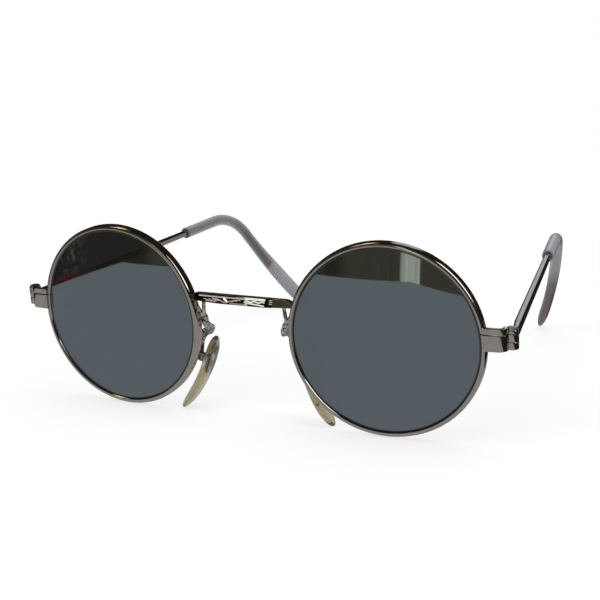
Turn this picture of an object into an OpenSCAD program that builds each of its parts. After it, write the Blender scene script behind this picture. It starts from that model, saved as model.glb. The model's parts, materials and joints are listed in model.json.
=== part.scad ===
// Round sunglasses in a thin plated metal frame. Two split rims hold mirrored lenses, an
// engraved bridge bar joins them, bent strip arms carry rocking nose pads, and two temples
// with plastic ear tips fold on screw hinges that also clamp the rims shut.
//
// Everything is drawn in the front's own frame first: X to the right hand as seen from the
// front, Y back towards the ears, Z up in the lens plane, with the point midway between the
// lens centres as the origin. stand() then leans the whole frame as it stands on a table.

/* [Lenses] */
// Diameter of a lens, tip to tip of its edge bevel
lens_d = 44; // [38:0.5:50]
// Gap between the two lenses at their nearest points
lens_gap = 24.75; // [20:0.25:30]
// Thickness of a lens
lens_t = 1.8; // [1.4:0.1:2.2]
// Radius of the front curve of a lens
lens_curve_r = 88; // [70:1:140]
// Height of the bevel that runs round the lens edge
lens_bevel = 0.45; // [0.3:0.05:0.5]
// Wrap: the angle by which each lens turns back at its outer side
wrap = 4.1; // [0:0.1:8]

/* [Rims] */
// How far the rim laps over the lens edge
rim_lap = 0.5; // [0.35:0.05:0.55]
// Width of the rim wire, seen from the front
rim_w = 1.2; // [1.1:0.05:1.6]
// Depth of the rim wire, front to back
rim_depth = 2.5; // [2.4:0.1:3.2]
// Gap at the split where the clamp closes the rim
split_gap = 0.3; // [0.15:0.05:0.5]
// Radius by which the rim's edges are rounded off
rim_round = 0.3; // [0.2:0.05:0.4]

/* [Bridge] */
// Height of the bridge bar at its ends
bridge_h = 1.8; // [1.8:0.1:3]
// Extra height in the middle of the bar, which bellies downwards
bridge_belly = 0.35; // [0:0.1:1]
// Thickness of the bar, front to back
bridge_t = 1.9; // [1.4:0.1:2.4]
// Height of the middle of the bar's end above the lens centres
bridge_z = 7.2; // [4:0.1:9]
// Radius of the bar's rounded shoulders
bridge_shoulder_r = 1.7; // [0.8:0.1:1.8]
// How far the bar's front lies behind the front of the rims
bridge_set_back = 0.3; // [0:0.1:0.6]

/* [Pad arms] */
// Width of the arm strip
arm_w = 2; // [1.4:0.1:2.2]
// Thickness of the arm strip
arm_t = 0.6; // [0.5:0.05:0.8]
// Diameter of the two legs that carry the strip
leg_d = 0.9; // [0.7:0.1:1.1]
// Diameter of the round eye at the end of the strip
eye_d = 1.9; // [1.7:0.1:2.1]

/* [Nose pads] */
// Distance between the tops of the two nose pads
pad_spread = 23.6; // [22.6:0.2:25]
// How far the top of a pad lies behind the front of the rims
pad_back = 7; // [6.4:0.1:7.6]
// Drop from the lens centres to the top of a pad
pad_drop = 5.3; // [4.5:0.1:6.5]
// Length of a nose pad along its curve
pad_l = 20; // [16:0.5:23]
// Width of a nose pad, front to back
pad_w = 5.6; // [4.4:0.1:6]
// Thickness of a nose pad
pad_t = 2.5; // [2:0.1:2.8]
// Angle from upright at the top of a pad
pad_top_a = 8; // [0:1:10]
// Angle from upright at the bottom of a pad
pad_bottom_a = 42; // [30:1:50]
// How far the pad leans forwards for each millimetre down
pad_lean = 0.2; // [0:0.01:0.25]
// Diameter of the pad screw
pad_screw_d = 0.8; // [0.7:0.05:0.9]
// Length of the stamped insert in the pad
insert_l = 6; // [5:0.1:7]
// Width of the stamped insert in the pad
insert_w = 3.6; // [3:0.1:4]
// Thickness of the stamped insert's plate
insert_t = 0.5; // [0.4:0.05:0.7]
// Thickness of each ear of the insert's fork
fork_t = 0.4; // [0.3:0.05:0.5]

/* [End pieces] */
// Height of the end strip
strip_h = 3.55; // [3:0.05:4]
// Thickness of the end strip
strip_t = 1.2; // [1:0.05:1.3]
// How far the end strip stands proud of the rim's front
strip_proud = 0.45; // [0.3:0.05:0.6]
// How far the end strip laps over the rim's front
strip_lap = 0.85; // [0.4:0.05:1.1]
// Outer radius where the strip turns back
strip_turn_r = 2.2; // [1.8:0.1:2.6]
// Angle through which the strip turns
strip_turn_a = 75; // [65:1:80]
// Height of the rim's split above the lens centres
split_z = 3.4; // [2.5:0.1:4.5]
// Height of the clamp strip above the split
clamp_h = 1.25; // [1:0.05:1.6]

/* [Hinges] */
// Distance from the rim's outer edge out to the hinge axis
hinge_out = 5.1; // [4.6:0.1:6]
// Distance from the rim's front back to the hinge axis
hinge_back = 2.45; // [2.2:0.05:2.8]
// Diameter of the hinge knuckles
knuckle_d = 2.9; // [2.7:0.1:3.2]
// Height of the lower knuckle
lower_knuckle_h = 1.8; // [1.6:0.1:2.6]
// Height of the temple's knuckle
temple_knuckle_h = 1.7; // [1.4:0.1:2.1]
// Height of the upper knuckle
upper_knuckle_h = 0.8; // [0.6:0.05:1]
// Distance from the split down to the top of the temple's knuckle
knuckle_drop = 0; // [-0.2:0.05:0.2]
// Diameter of the hinge screw's shank
screw_d = 1.4; // [1.2:0.1:1.6]
// Diameter of the hinge screw's head
head_d = 2.4; // [2.1:0.1:2.7]
// Height of the hinge screw's head
head_h = 0.35; // [0.25:0.05:0.5]
// Radial clearance of the temple's knuckle on the screw
hinge_fit = 0.05; // [0.02:0.01:0.08]
// Gap above and below the temple's knuckle
hinge_play = 0.05; // [0.03:0.01:0.1]

/* [Temples] */
// Angle by which each open temple leans inwards
splay = 6.8; // [0:0.1:8]
// Distance from the hinge axis to the start of the ear bend
bend_start = 80; // [72:0.5:90]
// Radius of the ear bend
bend_r = 19.5; // [15:0.5:25]
// Angle of the ear bend
bend_a = 52.9; // [40:0.1:60]
// Angle by which the bend is rolled inwards about the bar
bend_roll = 7.8; // [0:0.1:12]
// Length of the tail behind the bend
tail_l = 38.3; // [30:0.1:45]
// Angle by which the tail curls inwards over its length
tail_curl = 10.1; // [2:0.1:15]
// Thickness of the bar at the hinge
bar_t = 1.85; // [1.6:0.05:2.2]
// Height of the bar at the hinge
bar_h = 2; // [1.7:0.1:2.6]
// Thickness and height of the bar where it enters the tip
bar_end = 1.6; // [1.4:0.05:1.8]
// Length of the bevel inside the bar's front end, which clears the rim when folded
bar_bevel_l = 8; // [6:0.5:12]
// Diameter of the core wire inside the tip
core_d = 1.6; // [1.2:0.1:1.7]
// How far the core wire runs on past the bend
core_tail = 11; // [6:0.5:20]

/* [Temple tips] */
// Distance from the hinge axis to the mouth of the tip
tip_start = 65.1; // [55:0.1:72]
// Diameter of the tip's round front half
tip_d = 3.2; // [3:0.05:3.8]
// Diameter of the tip's open mouth
mouth_d = 2.4; // [2.3:0.05:2.7]
// Width of the flat paddle at the tip's end
paddle_w = 5; // [4.5:0.1:6]
// Thickness of the flat paddle
paddle_t = 2.9; // [2.4:0.1:3.2]
// Length of the paddle's rounded end
paddle_round = 9; // [6:0.5:12]

/* [Hidden] */

$fn = 64;
// Facets round the rims and lenses
round_fn = 180;
// Overlap that makes a cut run clean through a face
eps = 0.1;
// Clearance between fixed pieces that are fitted together
seat = 0.02;
// Clearance between the lens bevel and the rim's groove
lens_fit = 0.05;

// Rims and lenses
rim_in_r = lens_d / 2 - rim_lap;
rim_out_r = rim_in_r + rim_w;
eye_x = (lens_d + lens_gap) / 2;
groove_y = rim_depth / 2;
groove_r = lens_d / 2 + lens_fit;
lens_rest_r = rim_in_r - lens_fit;
lens_edge_y = groove_y - lens_t / 2 + 0.1;
lens_sag = lens_curve_r - sqrt(pow(lens_curve_r, 2) - pow(lens_rest_r, 2));
lens_apex_y = lens_edge_y - lens_sag;
lens_back_r = lens_curve_r - lens_t;

// Half the chord of the rim's outer circle at a height above the lens centres
function rim_half_chord(z) = sqrt(pow(rim_out_r, 2) - z * z);
// A point of the front's frame from rim coordinates: out from the lens centre, back, up
function from_rim(p) = [
    eye_x + p.x * cos(wrap) - p.y * sin(wrap),
    p.x * sin(wrap) + p.y * cos(wrap),
    p.z
];

// Hinge stack, from the bottom up
hinge_x = rim_out_r + hinge_out;
temple_knuckle_top = split_z - knuckle_drop;
temple_knuckle_z = temple_knuckle_top - temple_knuckle_h;
lower_knuckle_z = temple_knuckle_z - hinge_play - lower_knuckle_h;
upper_knuckle_z = temple_knuckle_top + hinge_play;
head_z = upper_knuckle_z + upper_knuckle_h;
knuckle_r = knuckle_d / 2;
relief_r = knuckle_r + 0.12;
hinge = from_rim([hinge_x, hinge_back, 0]);

// End strips: the turn is placed so that the strip's tail runs into the knuckle
strip_pass = knuckle_r - strip_t / 2 + 0.02;
strip_mid_r = strip_turn_r - strip_t / 2;
strip_mid_y = strip_t / 2 - strip_proud;
strip_tail = (hinge_back + (strip_pass + strip_mid_r) * cos(strip_turn_a)
    - strip_mid_r - strip_mid_y) / sin(strip_turn_a);
strip_turn_x = hinge_x - strip_tail * cos(strip_turn_a)
    - (strip_pass + strip_mid_r) * sin(strip_turn_a);
strip_in_x = rim_out_r - strip_lap;

// Temple bar and its path to the end of the tail
bar_start = knuckle_r + 0.4;
bar_z = temple_knuckle_z + 0.37;
tongue_t = 0.7;
tongue_h = 1.2;
tongue_l = 3;
core_r = core_d / 2;
bore_r = core_r + 0.15;
bend_l = bend_r * bend_a * PI / 180;
tail_start = bend_start + bend_l;
tip_end = tail_start + tail_l;
curl_r = tail_l / (tail_curl * PI / 180);
core_end = tail_start + core_tail;

function deg(arc, radius) = arc / radius * 180 / PI;
function roll(p) = [
    p.x * cos(bend_roll) + p.z * sin(bend_roll),
    p.y,
    p.z * cos(bend_roll) - p.x * sin(bend_roll)
];
bend_end = [0, bend_start + bend_r * sin(bend_a), -bend_r * (1 - cos(bend_a))];
bend_dir = [0, cos(bend_a), -sin(bend_a)];

// Centre line of the temple at distance s from the hinge axis, in the temple's frame
function temple_point(s) = roll(
    s < bend_start ? [0, s, 0]
    : s < tail_start ? let (a = deg(s - bend_start, bend_r))
        [0, bend_start + bend_r * sin(a), -bend_r * (1 - cos(a))]
    : let (a = deg(s - tail_start, curl_r))
        bend_end + bend_dir * curl_r * sin(a) - [curl_r * (1 - cos(a)), 0, 0]
);
// Direction across the temple in the plane of its bend
function temple_up(s) = let (a = s < bend_start ? 0 : min(bend_a, deg(s - bend_start, bend_r)))
    roll([0, sin(a), cos(a)]);
// Direction outwards, square to the bend
function temple_out(s) = s < tail_start ? roll([1, 0, 0])
    : let (a = deg(s - tail_start, curl_r)) roll([cos(a), 0, 0] + bend_dir * sin(a));

// Half width and half thickness of the tip at distance s from the hinge axis
function ease(u) = let (v = min(1, max(0, u))) v * v * (3 - 2 * v);
function tip_taper(s) = sqrt(1 - pow(min(1, max(0, 1 - (tip_end - s) / paddle_round)), 2.6));
function tip_blend(s) = ease((s - tail_start - 1) / (tail_l * 0.62));
function tip_half_w(s) = tip_taper(s) * (tip_d + (paddle_w - tip_d) * tip_blend(s)) / 2;
function tip_half_t(s) = tip_taper(s) * (tip_d + (paddle_t - tip_d) * tip_blend(s)) / 2;
// Radius of the tip's hollow, which narrows from the mouth to the core wire
function hollow_r(s) = bore_r + (mouth_d / 2 - bore_r) * (1 - ease((s - tip_start) / 6));

// A point of the front's frame from the right temple's frame
function from_temple(p) = [
    hinge.x + p.x * cos(splay) - p.y * sin(splay),
    hinge.y + p.x * sin(splay) + p.y * cos(splay),
    bar_z + p.z
];
function turn_splay(p) = [
    p.x * cos(splay) - p.y * sin(splay),
    p.x * sin(splay) + p.y * cos(splay),
    p.z
];

// Stations along the tip for its outside and for its hollow
tip_sides = 16;
tip_steps = 26;
round_steps = 6;
round_start = tip_end - paddle_round;
tip_stations = concat(
    [for (i = [0:tip_steps - 1]) tip_start + (round_start - tip_start) * i / tip_steps],
    [for (i = [0:round_steps - 1]) round_start + paddle_round * sin(90 * i / round_steps)],
    [tip_end - 0.02]
);
hollow_steps = 16;
hollow_stations = [for (i = [0:hollow_steps])
    tip_start + (core_end + 0.3 - tip_start) * i / hollow_steps];

// Lean of the standing frame: the rims' lowest edge and the tips touch the table together
function lowest_rim(lean) = min([for (p = rim_profile)
    p.y * cos(wrap) * sin(lean) - p.x * sqrt(pow(cos(lean), 2) + pow(sin(wrap) * sin(lean), 2))]);
function reach(s, way) = way * from_temple(temple_point(s))
    + sqrt(pow(tip_half_w(s) * (way * turn_splay(temple_up(s))), 2)
    + pow(tip_half_t(s) * (way * turn_splay(temple_out(s))), 2));
function lowest_tip(lean) = -max([for (s = tip_stations) reach(s, [0, -sin(lean), -cos(lean)])]);
function find_lean(low, high, steps) = let (mid = (low + high) / 2)
    steps == 0 ? mid
    : lowest_tip(mid) < lowest_rim(mid) ? find_lean(mid, high, steps - 1)
    : find_lean(low, mid, steps - 1);

// Section of the rim wire as radius and depth, with its groove for the lens bevel
rim_profile = [
    [rim_in_r, rim_round],
    [rim_in_r + rim_round / 3, rim_round / 3],
    [rim_in_r + rim_round, 0],
    [rim_out_r - rim_round, 0],
    [rim_out_r - rim_round / 3, rim_round / 3],
    [rim_out_r, rim_round],
    [rim_out_r, rim_depth - rim_round],
    [rim_out_r - rim_round, rim_depth],
    [rim_in_r + rim_round, rim_depth],
    [rim_in_r, rim_depth - rim_round],
    [rim_in_r, groove_y + lens_bevel + lens_fit],
    [groove_r, groove_y],
    [rim_in_r, groove_y - lens_bevel - lens_fit]
];

lean = find_lean(0, 15, 20);
stand_z = -lowest_rim(lean);
lens_front_y = (lens_apex_y + lens_curve_r) * cos(wrap) * cos(lean) - lens_curve_r;
tip_back_y = max([for (s = tip_stations) reach(s, [0, cos(lean), -sin(lean)])]);
stand_y = -(lens_front_y + tip_back_y) / 2;

// Bridge
rim_nose_y = -rim_half_chord(bridge_z) * sin(wrap);
bridge_front = rim_nose_y + bridge_set_back;
bridge_end_x = eye_x - rim_half_chord(bridge_z) * cos(wrap);
bridge_low = bridge_z - bridge_h / 2;

// Nose pads: the pad's middle follows an arc from its top end
pad_turn = pad_bottom_a - pad_top_a;
pad_curve_r = pad_l / (pad_turn * PI / 180);
pad_top = [pad_spread / 2, pad_back, -pad_drop];
function pad_angle(u) = pad_top_a + pad_turn * u;
function pad_point(u) = let (down = pad_curve_r * (sin(pad_angle(u)) - sin(pad_top_a)))
    pad_top + [pad_curve_r * (cos(pad_top_a) - cos(pad_angle(u))), -pad_lean * down, -down];
function pad_swell(u, p) = sqrt(1 - pow(abs(2 * u - 1), p));
function pad_half_w(u) = pad_w / 2 * pad_swell(u, 3.8) * (1.22 - 0.38 * u);
function pad_half_t(u) = pad_t / 2 * pad_swell(u, 4);
pad_steps = 14;
pad_stations = [for (i = [0:pad_steps]) 0.004 + 0.992 * (1 - cos(180 * i / pad_steps)) / 2];

// The pad screw runs front to back, behind the pad's outer face
insert_u = 0.3;
insert_a = pad_angle(insert_u);
insert_mid = pad_point(insert_u);
pad_screw_r = pad_screw_d / 2;
eye_gap = 0.45;
screw_off = pad_t / 2 + eye_gap + eye_d / 2;
pad_pivot = insert_mid + screw_off * [cos(insert_a), 0, sin(insert_a)];
fork_gap = 0.06;
fork_in = arm_t / 2 + fork_gap;
fork_out = fork_in + fork_t;
pad_fit = 0.05;

// Route of the right pad arm's strip, from the foot of its legs to its eye. Each point has
// the direction of the strip's width beside it.
arm_root = [bridge_end_x - 2.16, 0.7, bridge_low - 4.6];
arm_route = [
    [arm_root + [0.05, 0, 0.7], [1, 0, 0]],
    [arm_root + [-0.15, -0.25, -0.3], [1, 0, -0.1]],
    [arm_root + [-0.35, -0.4, -1.1], [0.9, 0, -0.45]],
    [arm_root + [-0.85, -0.35, -1.8], [0.55, 0, -0.85]],
    [arm_root + [-1.45, 0.05, -2.1], [0.1, 0, -1]],
    [arm_root + [-1.55, 0.95, -2.3], [0, 0, -1]],
    [arm_root + [-1.1, 2, -2.9], [-0.3, 0, -1]],
    [arm_root + [-0.15, 2.9, -3.8], [-0.6, 0.2, -1]],
    [pad_pivot + [-3.65, -1.2, 7.15], [-0.8, 0.2, -1]],
    [pad_pivot + [-2.1, -0.5, 6.4], [-1, 0.1, -1]],
    [pad_pivot + [-0.6, 0, 4.3], [-1, 0, -0.6]],
    [pad_pivot + [-0.05, 0, 1.3], [-1, 0, 0]],
    [pad_pivot + [0, 0, 0.4], [-1, 0, 0]]
];

// Skin of a tube through rings of points, all with as many sides, closed at both ends. Each
// ring turns clockwise as seen along the tube.
function fan(base, n, flip) = [for (i = [1:n - 2])
    flip ? [base, base + i + 1, base + i] : [base, base + i, base + i + 1]];
function band(base_a, base_b, n) = [for (i = [0:n - 1], k = [0, 1])
    let (j = (i + 1) % n)
    k == 0 ? [base_a + i, base_b + i, base_b + j] : [base_a + i, base_b + j, base_a + j]];
function flatten(list) = [for (part = list, item = part) item];

module tube_skin(rings) {
    n = len(rings[0]);
    last = len(rings) - 1;
    polyhedron(
        points = flatten(rings),
        faces = concat(
            fan(0, n, true),
            flatten([for (r = [0:last - 1]) band((r + 1) * n, r * n, n)]),
            fan(last * n, n, false)
        )
    );
}

function oval(mid, across, wide, up, high, n) = [for (i = [0:n - 1])
    let (a = 360 * i / n) mid + across * wide * cos(a) + up * high * sin(a)];
function unit(v) = v / norm(v);

// Draws its children on the right side, and mirrored on the left side
module on_side(side) {
    if (side < 0) mirror([1, 0, 0]) children();
    else children();
}

// Stands the frame on the table, with the middle of its footprint at the origin
module stand() {
    translate([0, stand_y, stand_z]) rotate([lean, 0, 0]) children();
}

// Rim coordinates of the right lens
module at_rim() {
    translate([eye_x, 0, 0]) rotate([0, 0, wrap]) children();
}

// Upright line of the right hinge axis
module at_hinge() {
    at_rim() translate([hinge_x, hinge_back, 0]) children();
}

// Temple frame: Y runs back along the bar from the hinge axis
module at_temple() {
    translate([hinge.x, hinge.y, bar_z]) rotate([0, 0, splay]) children();
}

// Space that the rim ring fills, up to its outer edge
module rim_room() {
    at_rim() rotate([-90, 0, 0]) cylinder(r = rim_out_r, h = rim_depth, $fn = round_fn);
}

module rim() {
    color("silver") at_rim() difference() {
        rotate([-90, 0, 0]) rotate_extrude($fn = round_fn) polygon(rim_profile);
        translate([0, -eps, split_z - split_gap / 2])
            cube([rim_out_r + 1, rim_depth + 2 * eps, split_gap]);
    }
}

// Lens section: front arc, bevelled edge, back arc
lens_steps = 10;
function lens_arc(radius, apex, x) = apex + radius - sqrt(radius * radius - x * x);
module lens() {
    front = [for (i = [0:lens_steps]) let (x = lens_rest_r * i / lens_steps)
        [x, lens_arc(lens_curve_r, lens_apex_y, x)]];
    back = [for (i = [lens_steps:-1:0]) let (x = lens_rest_r * i / lens_steps)
        [x, lens_arc(lens_back_r, lens_apex_y + lens_t, x)]];
    edge = [
        [lens_rest_r, groove_y - lens_bevel],
        [lens_d / 2, groove_y],
        [lens_rest_r, groove_y + lens_bevel]
    ];
    color("slategray") at_rim() rotate([-90, 0, 0])
        rotate_extrude($fn = round_fn) polygon(concat(front, edge, back));
}

// Bridge bar before its ends are cut to the rims
module bridge_bar() {
    half = bridge_end_x + 0.1 * bridge_shoulder_r;
    translate([0, bridge_front + bridge_t, 0]) rotate([90, 0, 0]) linear_extrude(bridge_t) {
        polygon([
            [-half, bridge_low],
            [-half / 2, bridge_low - bridge_belly],
            [half / 2, bridge_low - bridge_belly],
            [half, bridge_low],
            [half, bridge_low + bridge_h - bridge_shoulder_r],
            [half - bridge_shoulder_r, bridge_low + bridge_h],
            [-half + bridge_shoulder_r, bridge_low + bridge_h],
            [-half, bridge_low + bridge_h - bridge_shoulder_r]
        ]);
        for (side = [-1, 1])
            translate([side * (half - bridge_shoulder_r), bridge_low + bridge_h - bridge_shoulder_r])
                intersection() {
                    circle(bridge_shoulder_r);
                    translate([-bridge_shoulder_r, 0]) square(2 * bridge_shoulder_r);
                }
    }
}

module bridge() {
    color("silver") difference() {
        bridge_bar();
        for (side = [-1, 1]) on_side(side) rim_room();
    }
}

// Plan of an end strip, from the rim's front round to the knuckle, h high from z = 0
module end_plan(h) {
    turn_y = strip_mid_y + strip_mid_r;
    translate([strip_in_x, -strip_proud, 0])
        cube([strip_turn_x - strip_in_x, strip_t, h]);
    translate([strip_turn_x, turn_y, 0]) {
        intersection() {
            difference() {
                cylinder(r = strip_turn_r, h = h);
                translate([0, 0, -eps]) cylinder(r = strip_turn_r - strip_t, h = h + 2 * eps);
            }
            linear_extrude(h) polygon([
                [0, 0],
                [0, -2 * strip_turn_r],
                2 * strip_turn_r * [1, -1],
                2 * strip_turn_r * [sin(strip_turn_a), -cos(strip_turn_a)]
            ]);
        }
        rotate(strip_turn_a - 90) translate([strip_turn_r - strip_t, 0, 0])
            cube([strip_t, strip_tail + knuckle_r, h]);
    }
}

// One end strip from z_low up, cut to seat on the rim and round the knuckles
module end_piece(z_low, h) {
    at_rim() difference() {
        translate([0, 0, z_low]) end_plan(h);
        rotate([-90, 0, 0]) cylinder(r = rim_out_r, h = rim_depth, $fn = round_fn);
        translate([hinge_x, hinge_back, z_low - eps]) cylinder(r = knuckle_r, h = h + 2 * eps);
        translate([hinge_x, hinge_back, temple_knuckle_z - hinge_play])
            cylinder(r = relief_r, h = temple_knuckle_h + 2 * hinge_play);
        translate([hinge_x - knuckle_r, hinge_back, z_low - eps])
            cube([2 * knuckle_r, 2 * knuckle_r, h + 2 * eps]);
    }
}

module end_strip() {
    color("silver") end_piece(split_z - split_gap / 2 - strip_h, strip_h);
}

module rim_clamp() {
    color("silver") end_piece(split_z + split_gap / 2, clamp_h);
}

module knuckle(z_low, h, bore) {
    color("silver") at_hinge() translate([0, 0, z_low]) difference() {
        cylinder(d = knuckle_d, h = h);
        translate([0, 0, -eps]) cylinder(r = bore, h = h + 2 * eps);
    }
}

module lower_knuckle() {
    knuckle(lower_knuckle_z, lower_knuckle_h, screw_d / 2 + seat);
}

module upper_knuckle() {
    knuckle(upper_knuckle_z, upper_knuckle_h, screw_d / 2 + seat);
}

module hinge_screw() {
    slot_w = 0.3;
    slot_deep = 0.18;
    color("gainsboro") at_hinge() difference() {
        union() {
            translate([0, 0, lower_knuckle_z]) cylinder(d = screw_d, h = head_z - lower_knuckle_z);
            translate([0, 0, head_z]) cylinder(d = head_d, h = head_h);
        }
        translate([-head_d, -slot_w / 2, head_z + head_h - slot_deep])
            cube([2 * head_d, slot_w, slot_deep + eps]);
    }
}

// Tongue that runs from the temple's knuckle into the slot in the bar
module tongue() {
    translate([-tongue_t / 2, 0, temple_knuckle_z - bar_z])
        cube([tongue_t, bar_start + tongue_l, tongue_h]);
}

module temple_knuckle() {
    color("silver") at_temple() difference() {
        union() {
            translate([0, 0, temple_knuckle_z - bar_z]) cylinder(d = knuckle_d, h = temple_knuckle_h);
            tongue();
        }
        translate([0, 0, temple_knuckle_z - bar_z - eps])
            cylinder(r = screw_d / 2 + hinge_fit, h = temple_knuckle_h + 2 * eps);
    }
}

// Straight bar, slotted for the tongue, and the core wire that runs on inside the tip
module temple() {
    bar_back = tip_start + 2;
    color("silver") at_temple() {
        difference() {
            intersection() {
                translate([0, 0, -bar_h]) linear_extrude(2 * bar_h) polygon([
                    [bar_t / 2, bar_start],
                    [bar_end / 2, bar_back],
                    [-bar_end / 2, bar_back],
                    [-bar_t / 2, bar_start + bar_bevel_l],
                    [-tongue_t / 2, bar_start]
                ]);
                translate([-bar_t, 0, 0]) rotate([90, 0, 90]) linear_extrude(2 * bar_t) polygon([
                    [bar_start, bar_h / 2],
                    [bar_start, -bar_h / 2],
                    [bar_back, -bar_end / 2],
                    [bar_back, bar_end / 2]
                ]);
            }
            tongue();
        }
        translate([0, bar_back, 0]) rotate([-90, 0, 0])
            cylinder(r = core_r, h = bend_start - bar_back);
        rotate([0, bend_roll, 0]) {
            for (place = [[0, bend_start, 0], bend_end])
                translate(place) sphere(r = core_r + seat);
            translate([0, bend_start, -bend_r]) rotate([0, -90, 0])
                rotate_extrude(angle = bend_a, $fn = round_fn) translate([bend_r, 0]) circle(core_r);
            translate(bend_end) rotate([-bend_a, 0, 0]) translate([-curl_r, 0, 0])
                rotate_extrude(angle = deg(core_tail, curl_r), $fn = 4 * round_fn)
                translate([curl_r, 0]) circle(core_r);
        }
    }
}

// Hollow plastic tip: a round tube that flattens into a paddle with a rounded end
module temple_tip() {
    n = tip_sides;
    outside = [for (s = tip_stations)
        oval(temple_point(s), temple_out(s), tip_half_t(s), temple_up(s), tip_half_w(s), n)];
    inside = [for (s = hollow_stations)
        oval(temple_point(s), temple_out(s), hollow_r(s), temple_up(s), hollow_r(s), n)];
    out_last = len(outside) - 1;
    in_base = len(outside) * n;
    in_last = len(inside) - 1;
    color("rosybrown") at_temple() polyhedron(
        points = concat(flatten(outside), flatten(inside)),
        faces = concat(
            flatten([for (r = [0:out_last - 1]) band((r + 1) * n, r * n, n)]),
            fan(out_last * n, n, false),
            flatten([for (r = [0:in_last - 1]) band(in_base + r * n, in_base + (r + 1) * n, n)]),
            fan(in_base + in_last * n, n, true),
            band(0, in_base, n)
        )
    );
}

// Round rod between two points
module rod(from, to, d) {
    way = to - from;
    translate(from) rotate([0, acos(way.z / norm(way)), atan2(way.y, way.x)])
        cylinder(d = d, h = norm(way), $fn = 24);
}

// Bent strip with two legs, one brazed under the bridge and one to the rim
module pad_arm() {
    last = len(arm_route) - 1;
    rim_leg_z = bridge_low - 1.1;
    bridge_leg = [bridge_end_x - 2.6, bridge_front + bridge_t * 0.75, bridge_low + 0.5];
    rim_leg = from_rim([-rim_half_chord(rim_leg_z) + 0.4, rim_depth * 0.7, rim_leg_z]);
    rings = [for (i = [0:last])
        let (
            mid = arm_route[i][0],
            way = unit(arm_route[min(i + 1, last)][0] - arm_route[max(i - 1, 0)][0]),
            across = unit(arm_route[i][1] - way * (way * arm_route[i][1])),
            up = cross(across, way),
            wide = i == 0 ? leg_d * 0.8 : arm_w / 2
        )
        [for (k = [0:7])
            let (a = 22.5 + 45 * k, c = cos(a), s = sin(a))
            mid + across * wide * sign(c) * pow(abs(c), 0.4)
                + up * arm_t / 2 * sign(s) * pow(abs(s), 0.6)]];
    color("silver") difference() {
        union() {
            tube_skin(rings);
            rod(bridge_leg, arm_root, leg_d);
            rod(rim_leg, arm_root, leg_d);
            translate(arm_root) sphere(d = leg_d * 1.2, $fn = 24);
            translate(pad_pivot + [0, arm_t / 2, 0]) rotate([90, 0, 0])
                cylinder(d = eye_d, h = arm_t);
        }
        translate(pad_pivot + [0, arm_t, 0]) rotate([90, 0, 0])
            cylinder(r = pad_screw_r + pad_fit, h = 2 * arm_t);
        rim_room();
        bridge_bar();
    }
}

// Insert frame: at the pad's middle, X out through the pad's outer face, Z up along it
module at_insert() {
    translate(insert_mid) rotate([0, -insert_a, 0]) children();
}

// Stamped plate with round ends, grown by a clearance for the pocket in the pad
module insert_plate(grow) {
    t = insert_t + 2 * grow;
    r = insert_w / 2 + grow;
    straight = insert_l - insert_w;
    translate([-t / 2, -r, -straight / 2]) cube([t, 2 * r, straight]);
    for (end = [-1, 1]) translate([-t / 2, 0, end * straight / 2]) rotate([0, 90, 0])
        cylinder(r = r, h = t);
}

// The two ears of the fork, from the plate out to the pad screw
module insert_ears(grow) {
    for (face = [-1, 1])
        translate([0, face * (fork_in + fork_t / 2) - fork_t / 2 - grow, 0]) {
            translate([0, 0, -eye_d / 2 - grow]) cube([screw_off, fork_t + 2 * grow, eye_d + 2 * grow]);
            translate([screw_off, 0, 0]) rotate([-90, 0, 0])
                cylinder(r = eye_d / 2 + grow, h = fork_t + 2 * grow);
        }
}

module pad_insert() {
    color("silver") at_insert() difference() {
        union() {
            insert_plate(0);
            insert_ears(0);
        }
        translate([screw_off, -fork_out - eps, 0]) rotate([-90, 0, 0])
            cylinder(r = pad_screw_r + seat, h = 2 * (fork_out + eps));
    }
}

module pad_screw() {
    cap_h = 0.25;
    cap_r = pad_screw_r + 0.25;
    color("gainsboro") at_insert() translate([screw_off, 0, 0]) rotate([-90, 0, 0]) {
        translate([0, 0, -fork_out]) cylinder(r = pad_screw_r, h = 2 * fork_out);
        translate([0, 0, -fork_out - cap_h]) cylinder(r = cap_r, h = cap_h);
        translate([0, 0, fork_out]) cylinder(r = cap_r, h = cap_h);
    }
}

module nose_pad() {
    rings = [for (u = pad_stations)
        let (a = pad_angle(u))
        oval(pad_point(u), [cos(a), 0, sin(a)], pad_half_t(u), [0, 1, 0], pad_half_w(u), 16)];
    color("khaki", 0.7) difference() {
        tube_skin(rings);
        at_insert() {
            insert_plate(seat);
            insert_ears(seat);
        }
    }
}

stand() bridge();
stand() on_side(-1) rim();  // left_rim
stand() on_side(1) rim();  // right_rim
stand() on_side(-1) lens();  // left_lens
stand() on_side(1) lens();  // right_lens
stand() on_side(-1) end_strip();  // left_end_strip
stand() on_side(1) end_strip();  // right_end_strip
stand() on_side(-1) rim_clamp();  // left_rim_clamp
stand() on_side(1) rim_clamp();  // right_rim_clamp
stand() on_side(-1) lower_knuckle();  // left_lower_knuckle
stand() on_side(1) lower_knuckle();  // right_lower_knuckle
stand() on_side(-1) upper_knuckle();  // left_upper_knuckle
stand() on_side(1) upper_knuckle();  // right_upper_knuckle
stand() on_side(-1) hinge_screw();  // left_hinge_screw
stand() on_side(1) hinge_screw();  // right_hinge_screw
stand() on_side(-1) pad_arm();  // left_pad_arm
stand() on_side(1) pad_arm();  // right_pad_arm
stand() on_side(-1) pad_screw();  // left_pad_screw
stand() on_side(1) pad_screw();  // right_pad_screw
stand() on_side(-1) pad_insert();  // left_pad_insert
stand() on_side(1) pad_insert();  // right_pad_insert
stand() on_side(-1) nose_pad();  // left_nose_pad
stand() on_side(1) nose_pad();  // right_nose_pad
stand() on_side(-1) temple_knuckle();  // left_temple_knuckle
stand() on_side(1) temple_knuckle();  // right_temple_knuckle
stand() on_side(-1) temple();  // left_temple
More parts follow.
